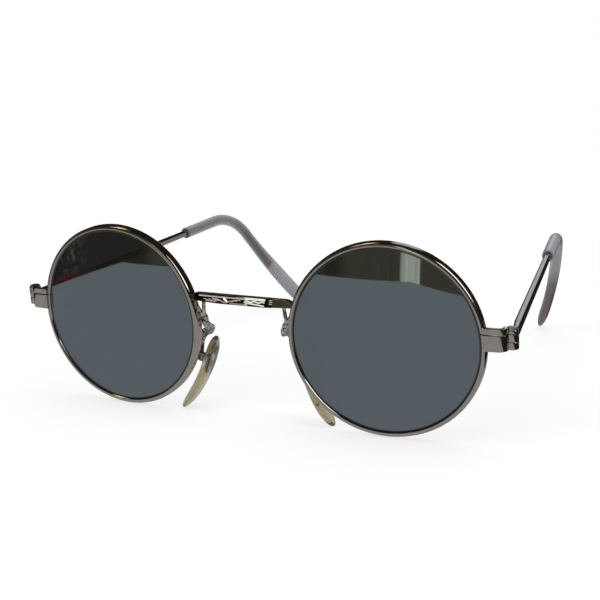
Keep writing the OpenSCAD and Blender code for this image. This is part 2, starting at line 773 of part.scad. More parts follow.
stand() on_side(1) temple();  // right_temple
stand() on_side(-1) temple_tip();  // left_temple_tip
stand() on_side(1) temple_tip();  // right_temple_tip
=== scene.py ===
# %% [markdown]
# # Round sunglasses in plated metal
# The real thing is a pair of thin wire rims, joined by an engraved bar, that hold mirrored
# lenses. Two temples fold on screw hinges and end in soft plastic tips, and two clear pads
# rock on bent arms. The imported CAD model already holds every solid, so this lesson dresses
# it: it makes finer meshes where a curve or an edge shows, and gives every surface its finish.
# The size itself is an estimate, because the photograph states none.

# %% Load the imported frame
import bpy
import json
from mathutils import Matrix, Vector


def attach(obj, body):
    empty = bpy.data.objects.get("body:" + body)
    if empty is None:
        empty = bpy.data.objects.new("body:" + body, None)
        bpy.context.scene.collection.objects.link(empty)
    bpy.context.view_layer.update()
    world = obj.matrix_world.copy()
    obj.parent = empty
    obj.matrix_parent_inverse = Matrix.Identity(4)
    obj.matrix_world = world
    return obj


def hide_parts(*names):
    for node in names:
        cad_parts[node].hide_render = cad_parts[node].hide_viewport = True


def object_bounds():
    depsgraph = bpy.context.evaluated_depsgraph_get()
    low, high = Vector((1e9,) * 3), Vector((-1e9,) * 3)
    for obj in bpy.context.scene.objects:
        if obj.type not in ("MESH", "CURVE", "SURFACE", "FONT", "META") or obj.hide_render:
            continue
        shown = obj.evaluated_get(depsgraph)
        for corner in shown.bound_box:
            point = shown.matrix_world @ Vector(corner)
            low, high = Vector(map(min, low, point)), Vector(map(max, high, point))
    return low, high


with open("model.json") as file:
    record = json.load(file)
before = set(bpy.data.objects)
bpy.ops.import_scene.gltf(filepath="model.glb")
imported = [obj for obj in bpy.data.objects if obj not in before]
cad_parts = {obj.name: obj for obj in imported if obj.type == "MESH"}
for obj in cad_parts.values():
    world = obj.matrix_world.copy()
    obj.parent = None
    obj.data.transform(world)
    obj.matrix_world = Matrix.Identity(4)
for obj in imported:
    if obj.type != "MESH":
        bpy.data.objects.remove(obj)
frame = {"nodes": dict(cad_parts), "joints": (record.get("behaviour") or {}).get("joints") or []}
cad_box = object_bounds()
print("CAD box:", [[round(c, 5) for c in corner] for corner in cad_box])

# %% [markdown]
# ## Where things are
# The front of the glasses leans as it stands on a table, so it is far easier to draw each
# piece upright, in the front's own frame, and to lean it afterwards. That frame is in
# millimetres: X to the right, Y back towards the ears, Z up, with its origin midway between
# the two lens centres. The lean and the place of that origin aren't typed again. They are
# worked out from the right temple's hinge, which the frame gives.

# %% The front's own frame, from the hinge
import json
import math

import bmesh
import bpy
import numpy as np
from mathutils import Vector

MM = 0.001
LENS_D, LENS_GAP, WRAP = 44.0, 24.75, math.radians(4.1)
RIM_IN_R, RIM_W, RIM_DEPTH = 21.5, 1.2, 2.5
RIM_OUT_R = RIM_IN_R + RIM_W
EYE_X = (LENS_D + LENS_GAP) / 2
SPLIT_Z, KNUCKLE_H = 3.4, 1.7
HINGE_OUT, HINGE_BACK = 5.1, 2.45


def from_rim(points):
    """Rim coordinates, out from the lens centre, back and up, to the front's own frame."""
    p = np.atleast_2d(np.asarray(points, float))
    return np.c_[EYE_X + p[:, 0] * math.cos(WRAP) - p[:, 1] * math.sin(WRAP),
                 p[:, 0] * math.sin(WRAP) + p[:, 1] * math.cos(WRAP), p[:, 2]]


joints = {joint["name"]: joint for joint in frame["joints"]}
fold = joints["right_temple_fold"]
LEAN = math.atan2(-fold["axis"][1], fold["axis"][2])
hinge = from_rim([RIM_OUT_R + HINGE_OUT, HINGE_BACK, SPLIT_Z - KNUCKLE_H / 2])[0]


def lean_back(points):
    p = np.atleast_2d(np.asarray(points, float))
    return np.c_[p[:, 0], p[:, 1] * math.cos(LEAN) - p[:, 2] * math.sin(LEAN),
                 p[:, 1] * math.sin(LEAN) + p[:, 2] * math.cos(LEAN)]


STAND = np.array(fold["pos_m"]) / MM - lean_back(hinge)[0]
STAND[0] = 0.0


def placed(points, side=1):
    """Points of the front's own frame, in metres where they stand, mirrored for side -1."""
    p = (lean_back(points) + STAND) * MM
    p[:, 0] *= side
    return p


SIDES = ((-1, "left"), (1, "right"))
print(f"lean {math.degrees(LEAN):.3f} degrees, origin at {STAND.round(3)} mm")

# %% [markdown]
# ## The camera
# The photograph's camera was solved once from the two rims, the hinges and the temples. It
# stands to the glasses' right and a little above them. A lens shift stands in for the crop
# that moved the picture's middle off the optical axis.

# %% Camera
CAMERA_PLACE = (127.0, -309.06, 88.44)
CAMERA_TURN = (79.033, 0.802, 25.829)
CAMERA_FOCAL, CAMERA_SHIFT = 74.0, (0.0551, -0.0365)


def in_scene(name, data):
    """An object with this data, linked to the scene."""
    thing = bpy.data.objects.new(name, data)
    bpy.context.scene.collection.objects.link(thing)
    return thing


camera_data = bpy.data.cameras.new("camera")
camera_data.sensor_width, camera_data.lens = 36.0, CAMERA_FOCAL
camera_data.shift_x, camera_data.shift_y = CAMERA_SHIFT
camera_data.clip_start, camera_data.clip_end = 0.01, 20.0
camera = in_scene("camera", camera_data)
camera.location = Vector(CAMERA_PLACE) * MM
camera.rotation_euler = [math.radians(a) for a in CAMERA_TURN]
bpy.context.scene.camera = camera
bpy.context.scene.view_settings.view_transform = "Standard"
print("camera at", tuple(round(c, 4) for c in camera.location))

# %% [markdown]
# ## Small helpers for node trees
# Shader trees and geometry trees are both lists of nodes and links. One helper adds a node
# with its settings and feeds its inputs. A term that feeds an input is a plain value, a node,
# which stands for its first output, or a pair of a node and the name of an output.


# %% Node helpers
def fill(tree, node, terms):
    """Feeds input sockets of a node, each from a value, a node or a (node, output) pair."""
    for key, term in terms.items():
        pair = (term, 0) if isinstance(term, bpy.types.Node) else term
        if isinstance(pair, tuple) and isinstance(pair[0], bpy.types.Node):
            tree.links.new(pair[0].outputs[pair[1]], node.inputs[key])
        else:
            node.inputs[key].default_value = term


def add(tree, kind, terms=None, **settings):
    node = tree.nodes.new(kind)
    for key, value in settings.items():
        setattr(node, key, value)
    fill(tree, node, terms or {})
    return node


def math_node(tree, kind, first, second=None, clamp=False):
    terms = {0: first} if second is None else {0: first, 1: second}
    return add(tree, "ShaderNodeMath", terms, operation=kind, use_clamp=clamp)


def times(tree, first, second):
    return math_node(tree, "MULTIPLY", first, second)


def ease_node(tree, source, low, high, to_low=0.0, to_high=1.0):
    """A Map Range node that eases a term from low..high to to_low..to_high."""
    return add(tree, "ShaderNodeMapRange", {"Value": source, "From Min": low, "From Max": high,
               "To Min": to_low, "To Max": to_high}, interpolation_type="SMOOTHSTEP")


def near_node(tree, source, middle, inner, outer):
    """1 where a term is within inner of its middle, easing to 0 where it's outer away."""
    off = math_node(tree, "ABSOLUTE", math_node(tree, "SUBTRACT", source, middle))
    return ease_node(tree, off, inner, outer, 1.0, 0.0)


print("node helpers ready")
# %% [markdown]
# ## Effects that several finishes share
# Three effects turn up in more than one finish. Plating that has been handled has dull
# patches, a warmer colour where it has worn thin, and hairline scratches. Moulded plastic has
# an uneven tint and faint scuffs. A wiped lens keeps faint streaks. Each is a node
# group that gives only colours, masks and heights, and the shaders stay in the materials.


# %% Effect groups
def effect(name, inputs, outputs):
    """A shader node group with its input and output nodes."""
    group = bpy.data.node_groups.new(name, "ShaderNodeTree")
    for label, kind, value in inputs:
        socket = group.interface.new_socket(label, in_out="INPUT", socket_type="NodeSocket" + kind)
        if value is not None:
            socket.default_value = value
    for label, kind in outputs:
        group.interface.new_socket(label, in_out="OUTPUT", socket_type="NodeSocket" + kind)
    return group, add(group, "NodeGroupInput"), add(group, "NodeGroupOutput")


def noise(tree, place, scale, detail=3.0, rough=0.5, stretch=None):
    """A Noise Texture on a vector term, stretched by a Mapping node if asked."""
    if stretch:
        place = add(tree, "ShaderNodeMapping", {"Vector": place, "Scale": stretch})
    return add(tree, "ShaderNodeTexNoise",
               {"Vector": place, "Scale": scale, "Detail": detail, "Roughness": rough})


def colour_mix(tree, factor, first, second):
    """The colour output of a Mix node."""
    return add(tree, "ShaderNodeMix", {0: factor, 6: first, 7: second}, data_type="RGBA"), 2


worn, into, out = effect(
    "worn_plating",
    [("Place", "Vector", None), ("Clean", "Color", (0.7, 0.68, 0.65, 1)),
     ("Worn", "Color", (0.5, 0.44, 0.34, 1)), ("Wear", "Float", 0.3), ("Polish", "Float", 0.14)],
    [("Color", "Color"), ("Roughness", "Float"), ("Height", "Float")])
patches = ease_node(worn, noise(worn, (into, "Place"), 320.0, 4.0, 0.6), 0.46, 0.68)
wear_mask = times(worn, patches, (into, "Wear"))
grain = ease_node(worn, noise(worn, (into, "Place"), 2600.0, 2.0), 0.3, 0.7, 0.0, 0.05)
dull = math_node(worn, "ADD", times(worn, wear_mask, 0.22), grain)
hairs = noise(worn, (into, "Place"), 900.0, 2.0, 0.5, stretch=(0.35, 1.0, 6.0))
fill(worn, out, {
    "Color": colour_mix(worn, wear_mask, (into, "Clean"), (into, "Worn")),
    "Roughness": math_node(worn, "ADD", dull, (into, "Polish"), clamp=True),
    "Height": ease_node(worn, hairs, 0.35, 0.65)})

skin, into, out = effect(
    "moulded_skin",
    [("Place", "Vector", None), ("Pale", "Color", (0.8, 0.8, 0.8, 1)),
     ("Deep", "Color", (0.5, 0.5, 0.5, 1)), ("Polish", "Float", 0.2)],
    [("Color", "Color"), ("Roughness", "Float")])
clouds = ease_node(skin, noise(skin, (into, "Place"), 140.0, 3.0, 0.55), 0.35, 0.68)
scuff = ease_node(skin, noise(skin, (into, "Place"), 420.0, 4.0, 0.65), 0.4, 0.75, 0.0, 0.05)
fill(skin, out, {
    "Color": colour_mix(skin, clouds, (into, "Pale"), (into, "Deep")),
    "Roughness": math_node(skin, "ADD", scuff, (into, "Polish"), clamp=True)})

wiped, into, out = effect(
    "wiped_glass",
    [("Place", "Vector", None), ("Coat", "Color", (0.4, 0.4, 0.4, 1)),
     ("Haze", "Color", (0.3, 0.3, 0.3, 1)), ("Amount", "Float", 0.3)],
    [("Color", "Color"), ("Roughness", "Float")])
streaks = noise(wiped, (into, "Place"), 60.0, 5.0, 0.6, stretch=(1.0, 1.0, 1.9))
dust = ease_node(wiped, noise(wiped, (into, "Place"), 1800.0, 3.0, 0.7), 0.52, 0.75, 0.0, 0.4)
both = math_node(wiped, "ADD", ease_node(wiped, streaks, 0.44, 0.72), dust, clamp=True)
haze = times(wiped, both, (into, "Amount"))
fill(wiped, out, {
    "Color": colour_mix(wiped, haze, (into, "Coat"), (into, "Haze")),
    "Roughness": times(wiped, haze, 0.16)})
print("effects:", [g.name for g in bpy.data.node_groups])

# %% [markdown]
# ## The finishes
# Nickel plate is a metal with a warm grey colour and a high polish. Its look comes almost
# wholly from what it mirrors, so the shader needs only a believable colour, a little
# roughness and a trace of wear. The bridge uses the same plate. Round the pattern, its front
# is painted near black, a painted reflection of the dark room. The cuts are matt from the
# tool, so they show pale where the polished plate shows the dark room, and an attribute on the
# mesh marks them out. One stretch of cuts right of the middle is painted a near-white gold,
# a painted highlight.


# %% Metal finishes
def finish(name, **sockets):
    """A material with an empty Principled shader, and its Object coordinates as a pair."""
    material = bpy.data.materials.new(name)
    material.use_nodes = True
    tree = material.node_tree
    shader = tree.nodes["Principled BSDF"]
    fill(tree, shader, {key.replace("_", " "): value for key, value in sockets.items()})
    return material, tree, shader, (add(tree, "ShaderNodeTexCoord"), "Object")


def use_effect(tree, group, place, **values):
    return add(tree, "ShaderNodeGroup", {"Place": place, **values}, node_tree=group)


def bump(tree, target, height, distance):
    """A Bump node on the Normal of a shader or of another Bump node."""
    node = add(tree, "ShaderNodeBump", {"Height": height, "Distance": distance, "Strength": 1.0})
    fill(tree, target, {"Normal": node})
    return node


def metal(name, clean, worn_colour, wear, polish, scratch, dents=0.0, metallic=1.0):
    """Plated metal with wear and scratches, and with shallow dents where it was bent by hand."""
    material, tree, shader, place = finish(name, Metallic=metallic)
    plate = use_effect(tree, worn, place, Clean=clean, Worn=worn_colour, Wear=wear, Polish=polish)
    fill(tree, shader, {"Base Color": (plate, "Color"), "Roughness": (plate, "Roughness")})
    scratches = bump(tree, shader, (plate, "Height"), scratch)
    if dents:
        bump(tree, scratches, noise(tree, place, 1000.0, 1.0), dents)
    return material


NICKEL, BENT_NICKEL = (0.62, 0.55, 0.465, 1), (0.84, 0.78, 0.7, 1)
BRASS_WEAR, DARK_WEAR = (0.5, 0.41, 0.29, 1), (0.1, 0.075, 0.05, 1)
FINE_SCRATCH, SCRATCH, DENTS = 0.0000012, 0.000002, 0.0009
nickel_plate = metal("nickel_plate", NICKEL, BRASS_WEAR, 0.4, 0.05, FINE_SCRATCH)
worn_nickel = metal("worn_nickel", NICKEL, (0.48, 0.4, 0.29, 1), 0.5, 0.07, SCRATCH)
bent_nickel = metal("bent_nickel", BENT_NICKEL, DARK_WEAR, 0.9, 0.06, SCRATCH, DENTS)
bright_insert = metal("bright_insert", (1.0, 0.99, 0.94, 1), (0.85, 0.82, 0.7, 1), 0.4, 0.12,
                      SCRATCH, metallic=0.7)
turned_steel = metal("turned_steel", (0.66, 0.64, 0.6, 1), (0.4, 0.34, 0.26, 1), 0.5, 0.14, SCRATCH)

# The second cut colour is a painted highlight for one stretch of cuts
BARE_CUT, GLINT_CUT_PAINT, LEAF_CUT = (0.52, 0.44, 0.41, 1), (1.0, 0.98, 0.82, 1), (1.0, 1.0, 0.97, 1)
# The first value below is a painted dark reflection for the ground round the pattern
DARK_REFLECTION_PAINT, CUT_METAL = (0.07, 0.055, 0.045, 1), 0.15
engraved_nickel, tree, shader, place = finish("engraved_nickel", Metallic=1.0)
plate = use_effect(tree, worn, place, Clean=NICKEL, Worn=BRASS_WEAR, Wear=0.4, Polish=0.06)
cut = (add(tree, "ShaderNodeAttribute", attribute_name="groove"), "Fac")
on_leaf = (add(tree, "ShaderNodeAttribute", attribute_name="leaf"), "Fac")
along = (add(tree, "ShaderNodeSeparateXYZ", {0: place}), "X")
facing = (add(tree, "ShaderNodeSeparateXYZ", {0: (place[0], "Normal")}), "Y")
in_cut = ease_node(tree, cut, 0.1, 0.4)
# Cuts about 1.4 to 5.8 mm right of the middle take the near-white gold: a painted highlight
painted_glint_cuts = times(tree, near_node(tree, along, 3.6 * MM, 2.2 * MM, 3.0 * MM), in_cut)
tone = colour_mix(tree, in_cut, (plate, "Color"), BARE_CUT)
tone = colour_mix(tree, painted_glint_cuts, tone, GLINT_CUT_PAINT)
tone = colour_mix(tree, times(tree, on_leaf, in_cut), tone, LEAF_CUT)
# The front-facing ground round the pattern is painted near black: a painted reflection of the dark room
pattern = near_node(tree, along, -2.1 * MM, 9.6 * MM, 10.6 * MM)
front_side = ease_node(tree, facing, -0.8, -0.5, 1.0, 0.0)
painted_dark_ground = times(tree, pattern, front_side)
painted_dark_ground = times(tree, painted_dark_ground, ease_node(tree, cut, 0.1, 0.45, 1.0, 0.0))
matt = times(tree, in_cut, CUT_METAL - 1.0)
fill(tree, shader, {
    "Base Color": colour_mix(tree, painted_dark_ground, tone, DARK_REFLECTION_PAINT),
    "Metallic": math_node(tree, "ADD", matt, 1.0), "Roughness": (plate, "Roughness")})
bump(tree, shader, (plate, "Height"), FINE_SCRATCH)
print("metal finishes:", [m.name for m in bpy.data.materials])

# %% [markdown]
# The lens is a dark plastic disc with a thin mirror coating on its front. The coating is
# drawn as a dim metal, a little bluish, that lets a few percent of the light through. The
# back of the lens has no coating: it is glossy, nearly black plastic. The pads are clear
# plastic that has yellowed, and the ear tips are a greyer, milkier plastic. What shows inside
# them, where the pads have browned, painted glints on the pads and painted shade on the right
# tip's paddle are marked on their meshes, and each mark has its tint. Edge on, both plastics
# turn paler, a painted sheen.


# %% Lens and plastic finishes
def wiped_lens(name, coat, haze, amount, polish, **sockets):
    material, tree, shader, place = finish(name, **sockets)
    film = use_effect(tree, wiped, place, Coat=coat, Haze=haze, Amount=amount)
    fill(tree, shader, {"Base Color": (film, "Color"),
                        "Roughness": math_node(tree, "ADD", (film, "Roughness"), polish)})
    return material


mirror_coat = wiped_lens("mirror_coat", (0.268, 0.311, 0.323, 1), (0.231, 0.267, 0.278, 1),
                         0.4, 0.025, Metallic=1.0, Alpha=0.94)
tinted_plastic = wiped_lens("tinted_plastic", (0.022, 0.023, 0.024, 1), (0.05, 0.05, 0.05, 1),
                            0.6, 0.04, Alpha=0.9, IOR=1.5)


def tint_marks(tree, tone, marks):
    """Tints a colour term where the mesh carries each mark."""
    for attribute, tint in marks:
        mark = add(tree, "ShaderNodeAttribute", attribute_name=attribute)
        tone = colour_mix(tree, (mark, "Fac"), tone, tint)
    return tone


def plastic(name, pale, deep, polish, edge_sheen_paint, inside, outside, **sockets):
    """Cloudy plastic that turns to a paler, painted sheen colour edge on, with marks under and over that."""
    material, tree, shader, place = finish(name, **sockets)
    surface = use_effect(tree, skin, place, Pale=pale, Deep=deep, Polish=polish)
    # Edge on, the colour turns paler: a painted sheen
    turned_away = add(tree, "ShaderNodeLayerWeight", {"Blend": 0.5})
    share = ease_node(tree, (turned_away, "Facing"), 0.15, 0.75)
    tone = colour_mix(tree, share, tint_marks(tree, (surface, "Color"), inside), edge_sheen_paint)
    fill(tree, shader, {"Base Color": tint_marks(tree, tone, outside),
                        "Roughness": (surface, "Roughness")})
    return material


# The last pad mark is painted glints
PAD_MARKS = [("aged", (0.21, 0.165, 0.085, 1)), ("rim", (0.42, 0.45, 0.48, 1)),
             ("plate", (0.085, 0.084, 0.05, 1)), ("rib", (0.22, 0.22, 0.15, 1)),
             ("plate_edge", (0.012, 0.009, 0.005, 1)), ("painted_glint", (1.0, 1.0, 0.92, 1))]
CORE_MARK = [("core", (0.19, 0.165, 0.15, 1))]
# The right tip's paddle mark is painted shade, where it faces away from the light
PADDLE_SHADE_MARK = [("handled", (0.17, 0.125, 0.132, 1))]
clear_pad = plastic("clear_pad", (0.4, 0.34, 0.225, 1), (0.33, 0.265, 0.15, 1), 0.03,
                    (0.56, 0.54, 0.455, 1), [], PAD_MARKS, Transmission_Weight=0.86, IOR=1.46)
milky_tip = plastic("milky_tip", (0.37, 0.365, 0.385, 1), (0.32, 0.312, 0.325, 1), 0.06,
                    (0.5, 0.5, 0.54, 1), CORE_MARK, PADDLE_SHADE_MARK, Transmission_Weight=0.4, IOR=1.36)
print("plastic and lens finishes:", clear_pad.name, milky_tip.name, mirror_coat.name)
# %% [markdown]
# ## Turning rings into pieces
# Most pieces are lofts: a closed ring of points is placed again and again along a path, and
# neighbouring rings are joined by four-sided faces. One helper does that, and a second turns
# points and faces into a finished piece: it places them, merges doubled points, turns all
# faces outwards, marks sharp edges, and ties the piece to its CAD body.


# %% Loft and piece helpers
def loft(rings, cap_start=True, cap_end=True, closed=True):
    """Points and faces of a skin through rings of equally many points."""
    rings = [np.asarray(ring, float) for ring in rings]
    n = len(rings[0])
    faces = []
    for r in range(len(rings) - 1):
        for i in range(n if closed else n - 1):
            j = (i + 1) % n
            faces.append((r * n + i, r * n + j, (r + 1) * n + j, (r + 1) * n + i))
    if cap_start:
        faces.append(tuple(range(n)))
    if cap_end:
        faces.append(tuple((len(rings) - 1) * n + i for i in range(n)))
    return np.vstack(rings), faces


def merge_faces(mesh, flat=0.0):
    """Merges doubled points, joins faces within flat degrees and turns all faces outwards."""
    bm = bmesh.new()
    bm.from_mesh(mesh)
    bmesh.ops.remove_doubles(bm, verts=bm.verts, dist=0.002 * MM)
    if flat:
        bmesh.ops.dissolve_limit(bm, angle_limit=math.radians(flat), verts=bm.verts, edges=bm.edges)
    bmesh.ops.recalc_face_normals(bm, faces=bm.faces)
    bm.to_mesh(mesh)
    bm.free()


def smooth(mesh, sharp):
    """Shades a mesh smooth but for edges sharper than sharp degrees."""
    mesh.shade_smooth()
    mesh.set_sharp_from_angle(angle=math.radians(sharp))


def show(name, mesh, body, nodes, slot, *materials):
    """Puts a finished mesh in the scene, on its body and in place of its CAD nodes."""
    piece = in_scene(name, mesh)
    mesh.materials.clear()
    for material in materials:
        mesh.materials.append(material)
    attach(piece, body)
    if nodes:
        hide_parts(*nodes)


def shaped(name, points, faces, side=1, sharp=35, **marks):
    """A clean mesh from points of the front's own frame, with each mark kept as an attribute."""
    mesh = bpy.data.meshes.new(name)
    mesh.from_pydata(placed(points, side).tolist(), [], faces)
    for mark, values in marks.items():
        attribute = mesh.attributes.new(mark, "FLOAT", "POINT")
        attribute.data.foreach_set("value", np.asarray(values, float))
    merge_faces(mesh)
    smooth(mesh, sharp)
    return mesh

def show_shape(name, points, faces, side, sharp, body, nodes, slot, material, **marks):
    show(name, shaped(name, points, faces, side, sharp, **marks), body, nodes, slot, material)


def ease(u):
    u = np.clip(u, 0.0, 1.0)
    return u * u * (3 - 2 * u)


def smooth_path(points, steps):
    """A rounded path through points, with steps samples from each to the next."""
    p = np.asarray(points, float)
    p = np.vstack([2 * p[0] - p[1], p, 2 * p[-1] - p[-2]])
    path = []
    for i in range(1, len(p) - 2):
        for t in np.linspace(0, 1, steps, endpoint=False):
            path.append(0.5 * (2 * p[i] + (p[i + 1] - p[i - 1]) * t
                        + (2 * p[i - 1] - 5 * p[i] + 4 * p[i + 1] - p[i + 2]) * t ** 2
                        + (3 * p[i] - p[i - 1] - 3 * p[i + 1] + p[i + 2]) * t ** 3))
    path.append(p[-2])
    return np.array(path)


def round_angles(steps):
    return np.linspace(0, 2 * math.pi, steps, endpoint=False)


def unit(v):
    v = np.asarray(v, float)
    return v / np.linalg.norm(v)


print("loft helpers ready")

# %% [markdown]
# ## Geometry Nodes helpers
# Geometry Nodes fit what follows a rule: a wire along a path, a section swept round a ring,
# cuts along drawn strokes. Each tree is built once with named inputs. The modifier's inputs
# are set by the sockets' identifiers, and the evaluated result is copied into a plain mesh,
# after which the modifier's object is thrown away.


# %% Geometry tree helpers
def geometry_tree(name, inputs):
    tree = bpy.data.node_groups.new(name, "GeometryNodeTree")
    tree.interface.new_socket("Geometry", in_out="INPUT", socket_type="NodeSocketGeometry")
    for label, kind, value in inputs:
        socket = tree.interface.new_socket(label, in_out="INPUT", socket_type="NodeSocket" + kind)
        if value is not None:
            socket.default_value = value
    tree.interface.new_socket("Geometry", in_out="OUTPUT", socket_type="NodeSocketGeometry")
    return tree, add(tree, "NodeGroupInput"), add(tree, "NodeGroupOutput")


def close_tree(tree, into, out, geometry):
    """Ends a tree in Realize Instances and Set Material."""
    real = add(tree, "GeometryNodeRealizeInstances", {"Geometry": geometry})
    paint = add(tree, "GeometryNodeSetMaterial", {"Geometry": real, "Material": (into, "Material")})
    fill(tree, out, {"Geometry": paint})


def line_mesh(name, paths, closed=False):
    """A mesh of loose edges along paths, each a list of points in metres."""
    points, edges = [], []
    for path in paths:
        start = len(points)
        points.extend(tuple(map(float, p)) for p in path)
        edges.extend((start + i, start + i + 1) for i in range(len(path) - 1))
        if closed:
            edges.append((start + len(path) - 1, start))
    mesh = bpy.data.meshes.new(name)
    mesh.from_pydata(points, edges, [])
    return mesh


def evaluated(holder):
    """The mesh that an object's modifiers make of it. The object is removed."""
    bpy.context.view_layer.update()
    graph = bpy.context.evaluated_depsgraph_get()
    result = bpy.data.meshes.new_from_object(holder.evaluated_get(graph))
    bpy.data.objects.remove(holder)
    return result


def grow(tree, mesh, **values):
    """Runs a geometry tree on a mesh and returns the result as a plain mesh."""
    holder = in_scene("holder", mesh)
    modifier = holder.modifiers.new("grow", "NODES")
    modifier.node_group = tree
    for item in tree.interface.items_tree:
        if item.item_type == "SOCKET" and item.in_out == "INPUT" and item.name in values:
            modifier[item.identifier] = values[item.name]
    return evaluated(holder)


wire_tree, into, out = geometry_tree(
    "wire_along_path",
    [("Radius", "Float", 0.0004), ("Sides", "Int", 16), ("Material", "Material", None)])
path_curve = add(wire_tree, "GeometryNodeMeshToCurve", {"Mesh": (into, "Geometry")})
round_section = add(wire_tree, "GeometryNodeCurvePrimitiveCircle",
                    {"Radius": (into, "Radius"), "Resolution": (into, "Sides")})
tube = add(wire_tree, "GeometryNodeCurveToMesh",
           {"Curve": path_curve, "Profile Curve": round_section, "Fill Caps": True})
close_tree(wire_tree, into, out, tube)


def show_wire(name, path, radius, sides, body, material):
    """Shows a wire of a radius in millimetres along a path in metres, as one more piece."""
    wire = grow(wire_tree, line_mesh(name, [path]), Radius=radius * MM, Sides=sides, Material=material)
    merge_faces(wire)
    smooth(wire, 40)
    show(name, wire, body, None, "plated_metal", material)


print("geometry trees:", [g.name for g in bpy.data.node_groups if g.type == "GEOMETRY"])
# %% [markdown]
# ## Rims
# A rim is drawn wire with a groove on its inside for the lens, rolled into a ring and split
# at its outer side, where the hinge clamp closes it. A ring of one section is a rule, so
# Geometry Nodes make it: the section, drawn once with its crowned front and its bright inner
# bevel, is swept along an arc that stops short at the split.

# %% Rims from a swept section
GROOVE_Y, GROOVE_DEEP, GROOVE_HALF = RIM_DEPTH / 2, 0.55, 0.5
SPLIT_GAP, CROWN_R = 0.3, 0.8
HAIR = 0.006  # kept off the outer radius, so that the finer ring stays inside the CAD box


def arc_points(centre, radius, start, end, steps):
    angles = np.radians(np.linspace(start, end, steps + 1))
    return [(centre[0] + radius * math.cos(a), centre[1] + radius * math.sin(a)) for a in angles]


def rim_section():
    """Radius and depth round the wire, from the inner bevel out, back and in again."""
    return ([(RIM_IN_R, 0.42), (RIM_IN_R + 0.03, 0.35), (RIM_IN_R + 0.22, 0.1)]
            + arc_points((RIM_IN_R + 0.4, CROWN_R), CROWN_R, 258, 332, 14)
            + arc_points((RIM_OUT_R - HAIR - 0.25, 0.62), 0.25, 335, 360, 3)
            + arc_points((RIM_OUT_R - HAIR - 0.3, RIM_DEPTH - 0.3), 0.3, 0, 90, 5)
            + arc_points((RIM_IN_R + 0.3, RIM_DEPTH - 0.3), 0.3, 90, 180, 5)
            + [(RIM_IN_R, GROOVE_Y + GROOVE_HALF), (RIM_IN_R + GROOVE_DEEP, GROOVE_Y + 0.05),
               (RIM_IN_R + GROOVE_DEEP, GROOVE_Y - 0.05), (RIM_IN_R, GROOVE_Y - GROOVE_HALF)])


tree, into, out = geometry_tree(
    "ring_from_section",
    [("Section", "Object", None), ("Radius", "Float", 0.0221), ("Start Angle", "Float", 0.0),
     ("Sweep Angle", "Float", 6.2), ("Steps", "Int", 288), ("Material", "Material", None)])
ring = add(tree, "GeometryNodeCurveArc", {
    "Resolution": (into, "Steps"), **{key: (into, key) for key in ("Radius", "Start Angle", "Sweep Angle")}},
    mode="RADIUS")
section_info = add(tree, "GeometryNodeObjectInfo", {"Object": (into, "Section")})
section_curve = add(tree, "GeometryNodeMeshToCurve", {"Mesh": (section_info, "Geometry")})
swept = add(tree, "GeometryNodeCurveToMesh",
            {"Curve": ring, "Profile Curve": section_curve, "Fill Caps": True})
close_tree(tree, into, out, swept)

mid_r = RIM_IN_R + RIM_W / 2
section = line_mesh("rim_section", [[((r - mid_r) * MM, y * MM, 0) for r, y in rim_section()]], closed=True)
section_object = in_scene("rim_section", section)
split_angle = math.asin(SPLIT_Z / mid_r)
half_gap = SPLIT_GAP / 2 / mid_r
ring_mesh = grow(tree, line_mesh("empty", [[(0, 0, 0)]]), **{
    "Section": section_object, "Radius": mid_r * MM, "Start Angle": split_angle + half_gap,
    "Sweep Angle": 2 * math.pi - 2 * half_gap, "Steps": 300, "Material": nickel_plate})
bpy.data.objects.remove(section_object)
ring_co = np.array([v.co for v in ring_mesh.vertices]) / MM
ring_faces = [tuple(f.vertices) for f in ring_mesh.polygons]
bpy.data.meshes.remove(ring_mesh)
for side, word in SIDES:
    # The sweep lies flat with its depth downwards: depth becomes Y, and its own Y becomes up
    ring_points = from_rim(np.c_[ring_co[:, 0], -ring_co[:, 2], ring_co[:, 1]])
    show_shape(f"{word}_rim_wire", ring_points, ring_faces, side, 24,
               "front", [f"{word}_rim"], "plated_metal", nickel_plate)
print("rims:", len(ring_faces), "faces each")

# %% [markdown]
# ## Lenses
# Each lens is a shallow cup of even thickness, cut round, with a small bevel that sits in the
# rim's groove. It is a lathe shape: one section turned about the lens axis. The mirror shows
# every facet, so the front has far more rings than the outline alone would need. Its front
# faces carry the coating, and the edge and back the bare tinted plastic. The coating stops a
# little short of the edge, so a dark bare ring there paints the shade in the gap between lens
# and rim.

# %% Lenses
# The last width on the next line is a bare, dark ring at the lens edge: painted shade in the gap between
# lens and rim
LENS_T, LENS_CURVE_R, LENS_BEVEL, EDGE_SHADE_RING = 1.8, 88.0, 0.45, 0.3
LENS_LIFT, LENS_STEPS = 0.102, 180
lens_edge_r = RIM_IN_R - 0.05
lens_sag = LENS_CURVE_R - math.sqrt(LENS_CURVE_R ** 2 - lens_edge_r ** 2)
apex = GROOVE_Y - LENS_T / 2 + LENS_LIFT - lens_sag


def lens_arc(radius, top, r):
    return top + radius - math.sqrt(radius * radius - r * r)


def lens_section(rings=40):
    radii = [(lens_edge_r - EDGE_SHADE_RING) * i / rings for i in range(1, rings + 1)] + [lens_edge_r]
    front = [(r, lens_arc(LENS_CURVE_R, apex, r)) for r in radii]
    back = [(r, lens_arc(LENS_CURVE_R - LENS_T, apex + LENS_T, r)) for r in reversed(radii)]
    edge = [(lens_edge_r, GROOVE_Y - LENS_BEVEL), (LENS_D / 2 - 0.01, GROOVE_Y),
            (lens_edge_r, GROOVE_Y + LENS_BEVEL)]
    return front, edge, back


def turned(section, steps):
    """Rings of a lathe shape about the lens axis, in rim coordinates."""
    angles = round_angles(steps)
    return [np.c_[r * np.cos(angles), np.full(steps, y), r * np.sin(angles)] for r, y in section]


